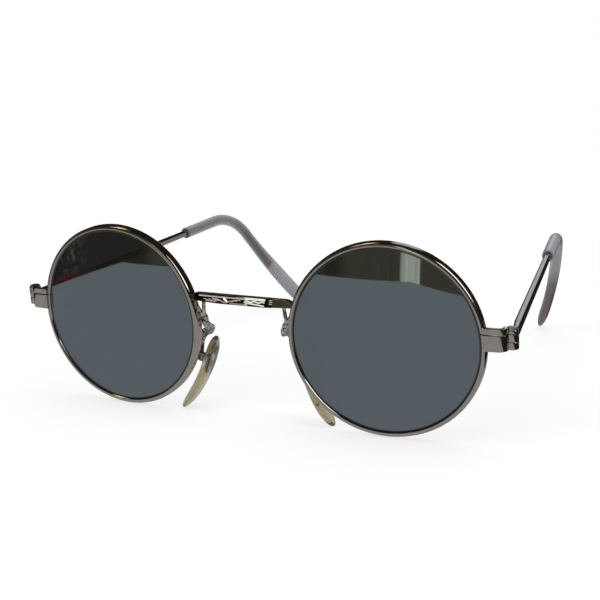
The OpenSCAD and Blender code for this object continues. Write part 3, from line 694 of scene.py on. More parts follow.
front, edge, back = lens_section()
rings = turned(front + edge + back, LENS_STEPS)
lens_points, lens_faces = loft(rings, cap_start=False, cap_end=False)
poles = len(lens_points)
lens_points = np.vstack([lens_points, [[0, apex, 0]], [[0, apex + LENS_T, 0]]])
last_ring = (len(rings) - 1) * LENS_STEPS
for i in range(LENS_STEPS):
    j = (i + 1) % LENS_STEPS
    lens_faces.append((poles, j, i))
    lens_faces.append((poles + 1, last_ring + i, last_ring + j))
for side, word in SIDES:
    mesh = shaped(f"{word}_mirror_lens", from_rim(lens_points), lens_faces, side, sharp=20)
    show(f"{word}_mirror_lens", mesh, "front", [f"{word}_lens"], "mirror_lens", mirror_coat, tinted_plastic)
    middle, ahead = placed(from_rim([[0, 0, 0], [0, -1, 0]]), side)
    axis, middle = Vector(ahead - middle).normalized(), Vector(middle)
    for polygon in mesh.polygons:
        off_axis = polygon.center - middle
        reach = (off_axis - axis * off_axis.dot(axis)).length
        # Faces within that ring of the edge stay bare and dark: painted shade at the rim
        coated = polygon.normal.dot(axis) > 0.9 and reach < (lens_edge_r - EDGE_SHADE_RING) * MM
        polygon.material_index = 0 if coated else 1
print("lens faces:", len(lens_faces), "front rings:", len(front))

# %% [markdown]
# ## Bridge
# The bridge is one flat bar, brazed to both rims, with a belly on its lower edge and rounded
# shoulders. Its front is engraved with rules, waves, a leaf and rows of short cuts, a common
# jeweller's border and not a copy of one. The bar is a loft with a dense front face.

# %% Bridge blank
BRIDGE_H, BRIDGE_T, BRIDGE_Z, SHOULDER_R = 1.8, 1.9, 7.2, 1.7
BELLY, BELLY_SHARE = 0.35, 0.62
bridge_front = -math.sqrt(RIM_OUT_R ** 2 - BRIDGE_Z ** 2) * math.sin(WRAP) + 0.3
bridge_end = EYE_X - math.sqrt(RIM_OUT_R ** 2 - BRIDGE_Z ** 2) * math.cos(WRAP)
bridge_low = BRIDGE_Z - BRIDGE_H / 2
bridge_half = bridge_end + 0.1 * SHOULDER_R


def bridge_edges(x):
    """Heights of the bar's lower and upper edge at a place along it."""
    low = bridge_low - BELLY * ease((bridge_half - abs(x)) / (bridge_half * BELLY_SHARE))
    into_shoulder = max(0.0, abs(x) - (bridge_half - SHOULDER_R))
    rise = math.sqrt(max(0.01, SHOULDER_R ** 2 - into_shoulder ** 2))
    return low, bridge_low + BRIDGE_H - SHOULDER_R + rise


FACE_ROWS, EDGE_R, FACE_LEAN, FACE_ROLL, BRIDGE_STEPS = 56, 0.14, 0.46, 0.24, 560


def face_lean(x):
    """How far the face lies back at its top: less where the bar is lower, at the same slope."""
    low, high = bridge_edges(x)
    return FACE_LEAN * min(1.0, (high - low - 2 * EDGE_R) / (BRIDGE_H - 2 * EDGE_R))


def face_point(x, t):
    """A point on the front face, which rolls back towards its top, t from 0 at its foot to 1."""
    low, high = bridge_edges(x)
    edge = min(EDGE_R, (high - low) * 0.4)
    y = bridge_front + face_lean(x) * ((1 - FACE_ROLL) * t + FACE_ROLL * t * t)
    return y, low + edge + (high - low - 2 * edge) * t


def bridge_ring(x):
    low, high = bridge_edges(x)
    edge, back_edge = min(EDGE_R, (high - low) * 0.4), min(0.5, (high - low) * 0.4)
    back = bridge_front + BRIDGE_T
    ring = [face_point(x, k / FACE_ROWS) for k in range(FACE_ROWS + 1)]
    ring += arc_points((bridge_front + face_lean(x) + edge, high - edge), edge, 165, 90, 7)[1:]
    ring += arc_points((back - back_edge, high - back_edge), back_edge, 90, 0, 5)
    ring += arc_points((back - back_edge, low + back_edge), back_edge, 0, -90, 5)
    ring += arc_points((bridge_front + edge, low + edge), edge, 270, 180, 7)[:-1]
    return [(x, y, z) for y, z in ring]


bridge_places = np.linspace(-bridge_half, bridge_half, BRIDGE_STEPS)
bridge_points, bridge_faces = loft([bridge_ring(x) for x in bridge_places])
bridge_mesh = shaped("bridge_blank", bridge_points, bridge_faces, 1, sharp=60)
print("bridge blank:", len(bridge_faces), "faces, half length", round(bridge_half, 2))

# %% [markdown]
# The strokes are drawn as polylines on the front face, by their place along the bar and their
# height between its two edges. A geometry tree then sinks every point of the blank that lies
# near a stroke, along its normal, and keeps the depth of the cut as an attribute, which tells
# the finish where the cuts are.

# %% Engraving strokes
def on_face(x, v):
    """A point on the bar's front face, v from 0 at its lower edge to 1 at its upper."""
    low, high = bridge_edges(x)
    t = ((high - low) * v - EDGE_R) / (high - low - 2 * EDGE_R)
    return (x, *face_point(x, t))


def wave(start, end, height, swing, turns, steps=60):
    return [on_face(x, height + swing * math.sin(turns * 2 * math.pi * i / steps))
            for i, x in enumerate(np.linspace(start, end, steps + 1))]


def sweep_stroke(start, end, bow, steps=14):
    """A stroke from one (x, v) to another that bows upwards in between."""
    (x0, v0), (x1, v1) = start, end
    return [on_face(x0 + (x1 - x0) * t, v0 + (v1 - v0) * t + bow * 4 * t * (1 - t))
            for t in np.linspace(0, 1, steps + 1)]


def cuts(start, end, low, high, count, slant=0.0):
    """A row of short upright cuts."""
    return [[on_face(x, low), on_face(x + slant, high)] for x in np.linspace(start, end, count)]


LEAF_X = -4.0
leaf = [on_face(LEAF_X - 0.3, 0.62), on_face(LEAF_X + 0.3, 0.4)]
broad = [wave(1.2, 6.1, 0.8, 0, 0, 20), leaf]
bold = [wave(-10.8, 0.8, 0.74, 0, 0, 20), wave(1.1, 6.0, 0.52, 0.06, 2.5),
        sweep_stroke((1.0, 0.38), (5.9, 0.17), 0.0)]
fine = [wave(-9.6, -5.4, 0.36, 0.05, 3.5), wave(-9.0, -6.4, 0.22, 0.02, 2)]
for k in range(4):
    for way, spread in ((-1, 0.8), (1, 1.0)):
        tip = (LEAF_X + way * (1.0 + spread * k), 0.28 + 0.09 * k)
        fine.append(sweep_stroke(tip, (LEAF_X + way * 0.15, 0.16), 0.08 + 0.015 * k))
fine += cuts(-2.7, 1.6, 0.1, 0.2, 16) + cuts(-1.0, 0.8, 0.78, 0.86, 7)
fine += [[on_face(7.3, v), on_face(8.0, v + 0.02)] for v in (0.4, 0.6, 0.8)]
print("engraving strokes:", len(broad), "broad,", len(bold), "bold and", len(fine), "fine")

# %% Engraving tree
tree, into, out = geometry_tree(
    "engrave_strokes",
    [("Strokes", "Object", None), ("Half Width", "Float", 0.00009), ("Depth", "Float", 0.00012),
     ("Material", "Material", None)])
stroke_info = add(tree, "GeometryNodeObjectInfo", {"Object": (into, "Strokes")})
near = add(tree, "GeometryNodeProximity", {0: (stroke_info, "Geometry")}, target_element="EDGES")
groove = ease_node(tree, (near, "Distance"), 0.0, (into, "Half Width"), 1.0, 0.0)
sink = times(tree, groove, (into, "Depth"))
sink = times(tree, sink, -1.0)
normal = add(tree, "GeometryNodeInputNormal")
shift = add(tree, "ShaderNodeVectorMath", {0: (normal, "Normal"), "Scale": sink}, operation="SCALE")
# A second pass keeps the deeper of the two cuts
before = add(tree, "GeometryNodeInputNamedAttribute", {"Name": "groove"}, data_type="FLOAT")
deepest = math_node(tree, "MAXIMUM", groove, (before, "Attribute"))
keep = add(tree, "GeometryNodeStoreNamedAttribute",
           {"Geometry": (into, "Geometry"), "Name": "groove", "Value": deepest},
           data_type="FLOAT", domain="POINT")
move = add(tree, "GeometryNodeSetPosition", {"Geometry": keep, "Offset": shift})
close_tree(tree, into, out, move)

# Strokes, with their half width and depth in millimetres
for strokes, half_width, depth in ((broad, 0.4, 0.1), (bold, 0.24, 0.1), (fine, 0.14, 0.075)):
    stroke_object = in_scene("strokes", line_mesh("strokes", [placed(stroke) for stroke in strokes]))
    bridge_mesh = grow(tree, bridge_mesh, **{
        "Strokes": stroke_object, "Half Width": half_width * MM, "Depth": depth * MM,
        "Material": engraved_nickel})
    bpy.data.objects.remove(stroke_object)
smooth(bridge_mesh, 60)
show("engraved_bridge", bridge_mesh, "front", ["bridge"], "plated_metal", engraved_nickel)
# The leaf's own stroke is the palest, so its points are marked by their distance from it
leaf_start, leaf_stop = np.array(placed(leaf))[:, [0, 2]] / MM
leaf_way = leaf_stop - leaf_start
spots = np.array([v.co for v in bridge_mesh.vertices])[:, [0, 2]] / MM
share = np.clip((spots - leaf_start).dot(leaf_way) / (leaf_way ** 2).sum(), 0, 1)
off_leaf = np.linalg.norm(spots - leaf_start - share[:, None] * leaf_way, axis=1)
leaf_mark = bridge_mesh.attributes.new("leaf", "FLOAT", "POINT")
leaf_mark.data.foreach_set("value", ease((0.42 - off_leaf) / 0.12))
depth = np.array([a.value for a in bridge_mesh.attributes["groove"].data])
print("engraved points:", int((depth > 0.1).sum()), "of", len(depth))

# %% [markdown]
# ## End strips, clamps, knuckles and screws
# These are small stampings and turned parts whose CAD solids already have the right shape,
# but stamped and tumbled metal has no knife edges, and it is the rounded edge that catches
# the light. So each CAD mesh is copied, its loose triangles are merged and its flat faces
# joined again, and a Bevel modifier rounds the edges.


# %% Rounded copies of CAD pieces
EASED_PARTS = [("end_strip", 0.25), ("rim_clamp", 0.3), ("lower_knuckle", 0.16), ("upper_knuckle", 0.16)]


def show_eased(node, width, body, slot, material, sharp=40):
    """Shows a copy of a CAD node's mesh with its edges rounded by width millimetres."""
    mesh = frame["nodes"][node].data.copy()
    mesh.name = node + "_eased"
    mesh.materials.clear()
    merge_faces(mesh, flat=1.0)
    holder = in_scene("holder", mesh)
    bevel = holder.modifiers.new("bevel", "BEVEL")
    bevel.width, bevel.segments = width * MM, 3
    bevel.limit_method, bevel.angle_limit = "ANGLE", math.radians(sharp)
    bevel.use_clamp_overlap = True
    rounded = evaluated(holder)
    smooth(rounded, 32)
    show(node + "_eased", rounded, body, [node], slot, material)


for side, word in SIDES:
    for part, width in EASED_PARTS:
        show_eased(f"{word}_{part}", width, "front", "plated_metal", worn_nickel)
    show_eased(f"{word}_temple_knuckle", 0.12, f"{word}_temple_arm", "plated_metal", worn_nickel)
    show_eased(f"{word}_hinge_screw", 0.07, "front", "screw_steel", turned_steel)
    show_eased(f"{word}_pad_screw", 0.06, f"{word}_pad", "screw_steel", turned_steel)

# %% [markdown]
# ## Temples
# A temple is a straight tapered bar with bevelled edges that thins to a round core wire, which
# runs on inside the plastic tip and bends over the ear with it. The bar is a loft of rounded
# rectangles. The wire follows a path, so the wire tree makes it.

# %% The temple's own frame and path
SPLAY, BEND_START, BEND_R = math.radians(6.8), 80.0, 19.5
BEND_A, BEND_ROLL = math.radians(52.9), math.radians(7.8)
TAIL_L, TAIL_CURL = 38.3, math.radians(10.1)
BAR_Z = SPLIT_Z - KNUCKLE_H + 0.37
bend_l = BEND_R * BEND_A
tail_start = BEND_START + bend_l
tip_end = tail_start + TAIL_L
curl_r = TAIL_L / TAIL_CURL
bend_end = np.array([0, BEND_START + BEND_R * math.sin(BEND_A), -BEND_R * (1 - math.cos(BEND_A))])
bend_dir = np.array([0, math.cos(BEND_A), -math.sin(BEND_A)])


def roll(p):
    c, s = math.cos(BEND_ROLL), math.sin(BEND_ROLL)
    return np.array([p[0] * c + p[2] * s, p[1], p[2] * c - p[0] * s])


def temple_point(s):
    """Middle of the temple at a distance s behind the hinge axis, along its bend."""
    if s < BEND_START:
        return roll([0, s, 0])
    if s < tail_start:
        a = (s - BEND_START) / BEND_R
        return roll([0, BEND_START + BEND_R * math.sin(a), -BEND_R * (1 - math.cos(a))])
    a = (s - tail_start) / curl_r
    return roll(bend_end + bend_dir * curl_r * math.sin(a) - np.array([curl_r * (1 - math.cos(a)), 0, 0]))


def temple_up(s):
    a = 0 if s < BEND_START else min(BEND_A, (s - BEND_START) / BEND_R)
    return roll([0, math.sin(a), math.cos(a)])


def temple_out(s):
    if s < tail_start:
        return roll([1, 0, 0])
    a = (s - tail_start) / curl_r
    return roll(np.array([math.cos(a), 0, 0]) + bend_dir * math.sin(a))


def from_temple(points):
    p = np.atleast_2d(np.asarray(points, float))
    c, s = math.cos(SPLAY), math.sin(SPLAY)
    return np.c_[hinge[0] + p[:, 0] * c - p[:, 1] * s, hinge[1] + p[:, 0] * s + p[:, 1] * c,
                 BAR_Z + p[:, 2]]


print(f"temple: bend to {tail_start:.1f} mm, tip ends at {tip_end:.1f} mm")

# %% Bars
TIP_START, BAR_T, BAR_H, BAR_END, BAR_BEVEL_L = 65.1, 1.85, 2.0, 1.6, 8.0
TONGUE_T, CORE_R, BAR_START = 0.7, 0.8, 1.85
FRONT_ROUND, BACK_ROUND, END_STEP = 0.35, 0.5, 0.12
bar_back = TIP_START + 2


def bar_ring(s):
    """Rounded rectangle round the bar at s, with its inner front corner bevelled away."""
    u = (s - BAR_START) / (bar_back - BAR_START)
    outer = (BAR_T + (BAR_END - BAR_T) * u) / 2
    inner = -outer if s > BAR_START + BAR_BEVEL_L else -(
        TONGUE_T / 2 + (BAR_T / 2 - TONGUE_T / 2) * (s - BAR_START) / BAR_BEVEL_L)
    half = (BAR_H + (BAR_END - BAR_H) * u) / 2
    end_round = ease(min((s - BAR_START) / FRONT_ROUND, (bar_back - s) / BACK_ROUND, 1)) * END_STEP
    outer, inner, half = (outer - END_STEP + end_round, inner + END_STEP - end_round,
                          half - END_STEP + end_round)
    r_out = min(0.52, outer * 0.75)
    r_in = min(0.4, (outer - inner) / 2 * 0.6)
    flat = (arc_points((outer - r_out, half - r_out), r_out, 0, 90, 6)
            + arc_points((inner + r_in, half - r_in), r_in, 90, 180, 6)
            + arc_points((inner + r_in, -half + r_in), r_in, 180, 270, 6)
            + arc_points((outer - r_out, -half + r_out), r_out, 270, 360, 6))
    return [(x, s, z) for x, z in flat]


round_stop, bevel_stop = BAR_START + FRONT_ROUND, BAR_START + BAR_BEVEL_L
stations = np.unique(np.r_[
    np.linspace(BAR_START, round_stop, 5), np.linspace(round_stop, bevel_stop, 8),
    np.linspace(bevel_stop, bar_back - BACK_ROUND, 24), np.linspace(bar_back - BACK_ROUND, bar_back, 5)])
bar_points, bar_faces = loft([bar_ring(s) for s in stations])
CORE_TAIL = 15  # 4 mm more than the CAD core wire's
core_stop = tail_start + CORE_TAIL
core_path = [temple_point(s) for s in np.linspace(bar_back - 1, core_stop, 60)]
for side, word in SIDES:
    show_shape(f"{word}_temple_bar", from_temple(bar_points), bar_faces, side, 28,
               f"{word}_temple_arm", [f"{word}_temple"], "plated_metal", nickel_plate)
    show_wire(f"{word}_core_wire", placed(from_temple(core_path), side), CORE_R, 24,
              f"{word}_temple_arm", worn_nickel)
print("temple bars:", len(bar_faces), "faces, core wire", round(core_stop - bar_back, 1), "mm long")

# %% [markdown]
# ## Ear tips
# A tip is a soft plastic sleeve, pushed on hot: a round tube that flattens into a paddle and
# ends in a blunt point, with the bend over the ear in its front half. It is hollow up to the
# end of the core wire. The loft runs outside, round the lip of the mouth and back inside. Two
# marks go with it: the dark streak of the core, which shows plainly only in the left tip, and
# a painted shade on the right tip's paddle, which faces away from the light.

# %% Tips
# The mouth is drawn narrower than the 2.4 mm of the CAD model
TIP_D, MOUTH_D, PADDLE_W, PADDLE_T, PADDLE_ROUND = 3.2, 2.0, 5.0, 2.9, 9.0
MOUTH_L, BORE_R, TIP_SIDES, LIP = 6, CORE_R + 0.15, 40, 0.16
INSET, END_INSET = 0.03, 0.07  # what keeps the smooth tip inside the CAD's flat-sided one


def tip_half(s, full):
    to_end = 1 - min(1, max(0, 1 - (tip_end - END_INSET - s) / PADDLE_ROUND)) ** 2.6
    taper = math.sqrt(max(0.0, to_end))
    blend = float(ease((s - tail_start - 1) / (TAIL_L * 0.62)))
    return taper * ((TIP_D + (full - TIP_D) * blend) / 2 - INSET)


def tip_ring(s, wide, thick):
    angles = round_angles(TIP_SIDES)
    middle, out_way, up_way = temple_point(s), temple_out(s), temple_up(s)
    return [middle + out_way * thick * math.cos(a) + up_way * wide * math.sin(a) for a in angles]


def hollow_r(s):
    return BORE_R + (MOUTH_D / 2 - BORE_R) * (1 - float(ease((s - TIP_START) / MOUTH_L)))


rings = [tip_ring(s, hollow_r(s), hollow_r(s)) for s in np.linspace(core_stop + 0.3, TIP_START + LIP, 44)]
wall = TIP_D / 2 - MOUTH_D / 2
for a in np.linspace(0, math.pi, 7)[1:-1]:
    r = MOUTH_D / 2 + wall / 2 - wall / 2 * math.cos(a)
    rings.append(tip_ring(TIP_START + LIP - LIP * math.sin(a), r, r))
round_off = tip_end - PADDLE_ROUND
outside = np.r_[np.linspace(TIP_START + LIP, round_off, 90)[:-1],
                round_off + (PADDLE_ROUND - 0.1) * np.sin(np.linspace(0, math.pi / 2, 22))]
ring_s = np.r_[np.full(len(rings), TIP_START), outside]
rings += [tip_ring(s, tip_half(s, PADDLE_W), tip_half(s, PADDLE_T)) for s in outside]
tip_points, tip_faces = loft(rings)
over_core = np.repeat(1 - ease((ring_s - core_stop + 0.3) / 1.2), TIP_SIDES)
on_paddle = np.repeat(ease((ring_s - tail_start - 4) / 14), TIP_SIDES)
# The right paddle gets the painted shade, as it faces away from the light
CORE_SHOWS, SHADED_PADDLE = {"left": 1.0, "right": 0.1}, {"left": 0.0, "right": 1.0}
for side, word in SIDES:
    show_shape(f"{word}_ear_tip", from_temple(tip_points), tip_faces, side, 50,
               f"{word}_temple_arm", [f"{word}_temple_tip"], "tip_plastic", milky_tip,
               core=over_core * CORE_SHOWS[word], handled=on_paddle * SHADED_PADDLE[word])
print("ear tips:", len(tip_faces), "faces each")

# %% [markdown]
# ## Pad arms
# A pad arm is a flat strip of the same plated metal, bent by hand to suit the nose. Two short
# legs carry it: one is brazed under the bridge, the other to the back of the rim. The strip
# curls down and back, and ends in a small round eye, in which the pad rocks. The strip is a
# loft along a rounded path, and the legs are wires.

# %% Pad arms
ARM_W, ARM_T, LEG_D, EYE_D = 2.0, 0.6, 0.9, 1.9
PATH_STEPS, CURL_STEP, CURL_DRAW = 16, 80, 0.4
KNOB_STRETCH, KNOB_LIFT = [1.35, 1.0, 1.5], 0.25
pad_joint = joints["right_pad_rock"]
back_again = np.array(pad_joint["pos_m"]) / MM - STAND
pad_pivot = np.array([back_again[0], back_again[1] * math.cos(LEAN) + back_again[2] * math.sin(LEAN),
                      back_again[2] * math.cos(LEAN) - back_again[1] * math.sin(LEAN)])
arm_root = np.array([bridge_end - 2.16, 0.7, bridge_low - 4.6])
# Places on the strip's path from its root and then from the pad's pivot, with its width's way
ROOT_STEPS = [((0.05, 0, 0.7), (1, 0, 0)), ((-0.15, -0.25, -0.3), (1, 0, -0.1)),
              ((-0.35, -0.4, -1.1), (0.9, 0, -0.45)), ((-0.85, -0.35, -1.8), (0.55, 0, -0.85)),
              ((-1.45, 0.05, -2.1), (0.1, 0, -1)), ((-1.55, 0.95, -2.3), (0, 0, -1)),
              ((-1.1, 2, -2.9), (-0.3, 0, -1)), ((-0.15, 2.9, -3.8), (-0.6, 0.2, -1))]
PAD_STEPS = [((-3.65, -1.2, 7.15), (-0.8, 0.2, -1)), ((-2.1, -0.5, 6.4), (-1, 0.1, -1)),
             ((-0.6, 0, 4.3), (-1, 0, -0.6)), ((-0.05, 0, 1.3), (-1, 0, 0)), ((0, 0, 0.4), (-1, 0, 0))]
route = [(arm_root + p, w) for p, w in ROOT_STEPS] + [(pad_pivot + p, w) for p, w in PAD_STEPS]
arm_path = smooth_path([p for p, _ in route], PATH_STEPS)
arm_width_ways = smooth_path([w for _, w in route], PATH_STEPS)


def bell(x, middle, width):
    return math.exp(-((x - middle) / width) ** 2)


def strip_ring(i):
    way = unit(arm_path[min(i + 1, len(arm_path) - 1)] - arm_path[max(i - 1, 0)])
    across = unit(arm_width_ways[i] - way * way.dot(arm_width_ways[i]))
    up = np.cross(across, way)
    wide = LEG_D * 0.8 + (ARM_W / 2 - LEG_D * 0.8) * float(ease(i / PATH_STEPS))
    wide *= 1 - CURL_DRAW * bell(i, CURL_STEP, 18)
    upper = 1 - 0.5 * bell(i, 84, 20)
    lower = 1 - 0.35 * bell(i, 104, 14)
    ring = []
    for a in round_angles(28):
        c, s = math.cos(a), math.sin(a)
        half = across * wide * (lower if c > 0 else upper) * math.copysign(abs(c) ** 0.7, c)
        ring.append(arm_path[i] + half + up * ARM_T / 2 * math.copysign(abs(s) ** 0.65, s))
    return ring


strip_points, strip_faces = loft([strip_ring(i) for i in range(len(arm_path))])
eye_r = EYE_D / 2
eye_half = [(0.02, 0), (eye_r - 0.12, 0), (eye_r - 0.03, 0.03), (eye_r, 0.12)]
eye_section = eye_half + [(r, ARM_T - y) for r, y in reversed(eye_half)]
eye_points, eye_faces = loft(turned(eye_section, 40))
eye_points = eye_points + pad_pivot - [0, ARM_T / 2, 0]
bridge_leg = [bridge_end - 2.6, bridge_front + BRIDGE_T * 0.75, bridge_low + 0.5]
rim_leg_z = bridge_low - 1.1
rim_leg = from_rim([[-math.sqrt(RIM_OUT_R ** 2 - rim_leg_z ** 2) + 0.4, RIM_DEPTH * 0.7, rim_leg_z]])[0]
knob_profile = [(max(0.01, r), y) for r, y in arc_points((0, 0), 0.6, -90, 90, 12)]
knob_points, knob_faces = loft(turned(knob_profile, 24))
knob_points = knob_points * KNOB_STRETCH + [0, 0, KNOB_LIFT]
for side, word in SIDES:
    parts = [("arm_strip", strip_points, strip_faces), ("arm_eye", eye_points, eye_faces),
             ("arm_knob", knob_points + arm_root, knob_faces)]
    for kind, points, faces in parts:
        nodes = [f"{word}_pad_arm"] if kind == "arm_strip" else None
        show_shape(f"{word}_{kind}", points, faces, side, 45, "front", nodes, "plated_metal", bent_nickel)
    for kind, start in (("bridge_leg", bridge_leg), ("rim_leg", rim_leg)):
        bend = (np.array(start) + arm_root) / 2 + [0, -0.15, 0]
        show_wire(f"{word}_{kind}", placed(smooth_path([start, bend, arm_root], 6), side), LEG_D / 2, 20,
                  "front", bent_nickel)
print("pad arm strip:", len(strip_faces), "faces; pad pivot", pad_pivot.round(3))

# %% [markdown]
# ## Nose pads and their inserts
# A pad is a curved, flattened drop of clear plastic, moulded round a stamped metal insert.
# The insert has a ribbed oval plate and a fork that straddles the arm's eye. Little of the
# plate comes through the plastic in a render, so marks on the pad's mesh draw it as well,
# with painted glints on the plate and on the fork. The ribs repeat along a line, so a
# geometry tree sets a small bar at each point.

# %% Nose pads
PAD_L, PAD_W, PAD_T, PAD_LEAN = 20.0, 5.6, 2.5, 0.2
PAD_TOP_A, PAD_TURN = math.radians(8), math.radians(34)
pad_curve_r = PAD_L / PAD_TURN
INSERT_U, INSERT_T, INSERT_L, INSERT_W = 0.3, 0.5, 6.0, 3.6
PAD_SIDES, PAD_RINGS, PAD_END, FORK_GAP = 72, 90, 0.0042, 0.45
insert_a = PAD_TOP_A + PAD_TURN * INSERT_U
screw_off = PAD_T / 2 + FORK_GAP + EYE_D / 2
insert_mid = pad_pivot - screw_off * np.array([math.cos(insert_a), 0, math.sin(insert_a)])


def pad_drop(u):
    return pad_curve_r * (math.sin(PAD_TOP_A + PAD_TURN * u) - math.sin(PAD_TOP_A))


def pad_point(u):
    across = pad_curve_r * (math.cos(PAD_TOP_A) - math.cos(PAD_TOP_A + PAD_TURN * u))
    at_insert = pad_curve_r * (math.cos(PAD_TOP_A) - math.cos(insert_a))
    fall = pad_drop(u) - pad_drop(INSERT_U)
    return insert_mid + [across - at_insert, -PAD_LEAN * fall, -fall]


def pad_half(u):
    return PAD_W / 2 * math.sqrt(1 - abs(2 * u - 1) ** 3.8) * (1.22 - 0.38 * u)


def pad_ring(u):
    a = PAD_TOP_A + PAD_TURN * u
    wide = pad_half(u)
    thick = PAD_T / 2 * math.sqrt(1 - abs(2 * u - 1) ** 4)
    out_way = np.array([math.cos(a), 0, math.sin(a)])
    return [pad_point(u) + out_way * thick * math.cos(t) + np.array([0, 1, 0]) * wide * math.sin(t)
            for t in round_angles(PAD_SIDES)]


pad_us = PAD_END + (1 - 2 * PAD_END) * (1 - np.cos(np.linspace(0, math.pi, PAD_RINGS))) / 2
pad_points, pad_faces = loft([pad_ring(u) for u in pad_us])


def pad_marks():
    """Where the plastic is browned, where the plate inside shows through its nose side, and painted glints
    on the plate and the fork.
    """
    marks = {name: [] for name, _ in PAD_MARKS}
    for u in pad_us:
        down = pad_drop(u) - pad_drop(INSERT_U)
        for t in round_angles(PAD_SIDES):
            across, nose_side = pad_half(u) * math.sin(t), float(ease(0.3 - 1.6 * math.cos(t)))
            radius = math.hypot((down + 0.3) / (INSERT_L * 0.49), across / (INSERT_W * 0.7))
            on_plate = nose_side * float(ease((1.05 - radius) / 0.1))
            ridge = float(ease((1 - radius) / 0.4)) * (0.5 + 0.5 * math.cos(7.5 * down))
            # Place across and down, width, height and share of each painted glint
            spots = [(across + 1.2, down + 1.4, 0.5, 0.8, nose_side),
                     (across + 0.9, down - 1.6, 0.6, 1.0, nose_side),
                     (across + pad_half(u) * 0.95, down + 0.4, 1.0, 1.2, 1 - nose_side)]
            marks["aged"].append(float(ease((0.34 - u) / 0.16)) * 0.85)
            marks["rim"].append(float(ease((0.2 - u) / 0.12)) * float(ease((across + 0.2) / 1.4)))
            marks["plate"].append(on_plate)
            marks["rib"].append(on_plate * ridge)
            marks["plate_edge"].append(nose_side * bell(radius, 1.04, 0.17))
            marks["painted_glint"].append(max(share * math.exp(-(x / w) ** 2 - ((z - 0.6 * x) / h) ** 2)
                                      for x, z, w, h, share in spots))
    return marks


marks_on_pad = pad_marks()
for side, word in SIDES:
    show_shape(f"{word}_clear_pad", pad_points, pad_faces, side, 60,
               f"{word}_pad", [f"{word}_nose_pad"], "pad_plastic", clear_pad, **marks_on_pad)
    show_eased(f"{word}_pad_insert", 0.06, f"{word}_pad", "screw_steel", bright_insert)
print("pads:", len(pad_faces), "faces each; insert at", insert_mid.round(3))

# %% Ribs on the inserts
RIB_REACH, RIB_COUNT, RIB_L, RIB_T = 2.1, 7, 2.9, 0.34
tree, into, out = geometry_tree(
    "ribs_along_line", [("Count", "Int", 6), ("Length", "Float", 0.0026), ("Thickness", "Float", 0.0003),
                        ("Turn", "Rotation", None), ("Material", "Material", None)])
line = add(tree, "GeometryNodeMeshToCurve", {"Mesh": (into, "Geometry")})
spaced = add(tree, "GeometryNodeResampleCurve", {"Curve": line, "Count": (into, "Count")}, mode="COUNT")
half_thick = times(tree, (into, "Thickness"), 0.5)
rib = add(tree, "GeometryNodeMeshCylinder",
          {"Vertices": 12, "Depth": (into, "Length"), "Radius": half_thick})
set_ribs = add(tree, "GeometryNodeInstanceOnPoints",
               {"Points": spaced, "Instance": rib, "Rotation": (into, "Turn")})
close_tree(tree, into, out, set_ribs)

down_plate = np.array([-math.sin(insert_a), 0, math.cos(insert_a)]) * RIB_REACH
plate_ahead = np.array([-math.cos(insert_a), 0, -math.sin(insert_a)])
plate_face = insert_mid + plate_ahead * (INSERT_T / 2 + 0.02)
for side, word in SIDES:
    ends = placed([plate_face - down_plate, plate_face + down_plate], side)
    ribs = grow(tree, line_mesh("rib_line", [ends]), Count=RIB_COUNT, Length=RIB_L * MM,
                Thickness=RIB_T * MM, Turn=(math.pi / 2 + LEAN, 0.0, 0.0), Material=bright_insert)
    merge_faces(ribs)
    smooth(ribs, 40)
    show(f"{word}_insert_ribs", ribs, f"{word}_pad", None, "screw_steel", bright_insert)
print("insert ribs:", len(ribs.polygons), "faces each")

# %% [markdown]
# ## Table, room light and lamps
# The picture's background is plain white, and so are the floor and the world for the camera
# and for light that passes through plastic. Mirrors and plating are different: what makes
# them read as metal is that they mirror something with edges. As in the photograph, they see
# a grey table top that ends a few hand widths away, with a dark red cloth beside it, and a
# dim room beyond with windows, a curtain and a few bright patches. Only rays that metal and
# coatings mirror see these. The lamps are soft, at a plain level, and they aren't mirrored.

# %% Floor
TABLE_GREY, CLOTH_RED, PAPER = (0.335, 0.35, 0.375, 1), (0.1, 0.03, 0.03, 1), (0.92, 0.92, 0.92, 1)
# The mirrored table's corners in millimetres, round from the near end of its left edge
TABLE_CORNERS = [(-166, -98), (-300, -433), (20, -560), (140, -200), (20, 130)]
CLOTH_W, CLOTH_REACH = 16, 190
FLOOR_HALF, FLOOR_DROP = 6.0, 0.00005
floor_mesh = bpy.data.meshes.new("floor")
floor_corners = [(x * FLOOR_HALF, y * FLOOR_HALF, 0) for x, y in ((-1, -1), (1, -1), (1, 1), (-1, 1))]
floor_mesh.from_pydata(floor_corners, [], [(0, 1, 2, 3)])
floor = in_scene("floor", floor_mesh)
floor.location.z = cad_box[0][2] - FLOOR_DROP


def mirrored_only(tree):
    """A mask of the rays that metal and coatings mirror, without those that pass through plastic."""
    rays = add(tree, "ShaderNodeLightPath")
    return math_node(tree, "SUBTRACT", (rays, "Is Glossy Ray"), (rays, "Is Transmission Ray"), clamp=True)


def shader_mix(tree, factor, first, second):
    return add(tree, "ShaderNodeMixShader", {0: factor, 1: first, 2: second})


paper = bpy.data.materials.new("white_paper")
paper.use_nodes = True
tree = paper.node_tree
tree.nodes.clear()
place = (add(tree, "ShaderNodeTexCoord"), "Object")
inside = None
for start, end in zip(TABLE_CORNERS, TABLE_CORNERS[1:]):
    way = unit(np.subtract(end, start))
    inward = np.array([-way[1], way[0], 0.0])
    dot = add(tree, "ShaderNodeVectorMath", {0: place, 1: tuple(inward)}, operation="DOT_PRODUCT")
    beyond = math_node(tree, "SUBTRACT", (dot, "Value"), float(inward[:2].dot(start)) * MM)
    within = ease_node(tree, beyond, -0.001, 0.001)
    if inside is None:
        past_cloth = ease_node(tree, beyond, -(CLOTH_W + 5) * MM, -CLOTH_W * MM)
        inside = within
    else:
        inside = times(tree, inside, within)
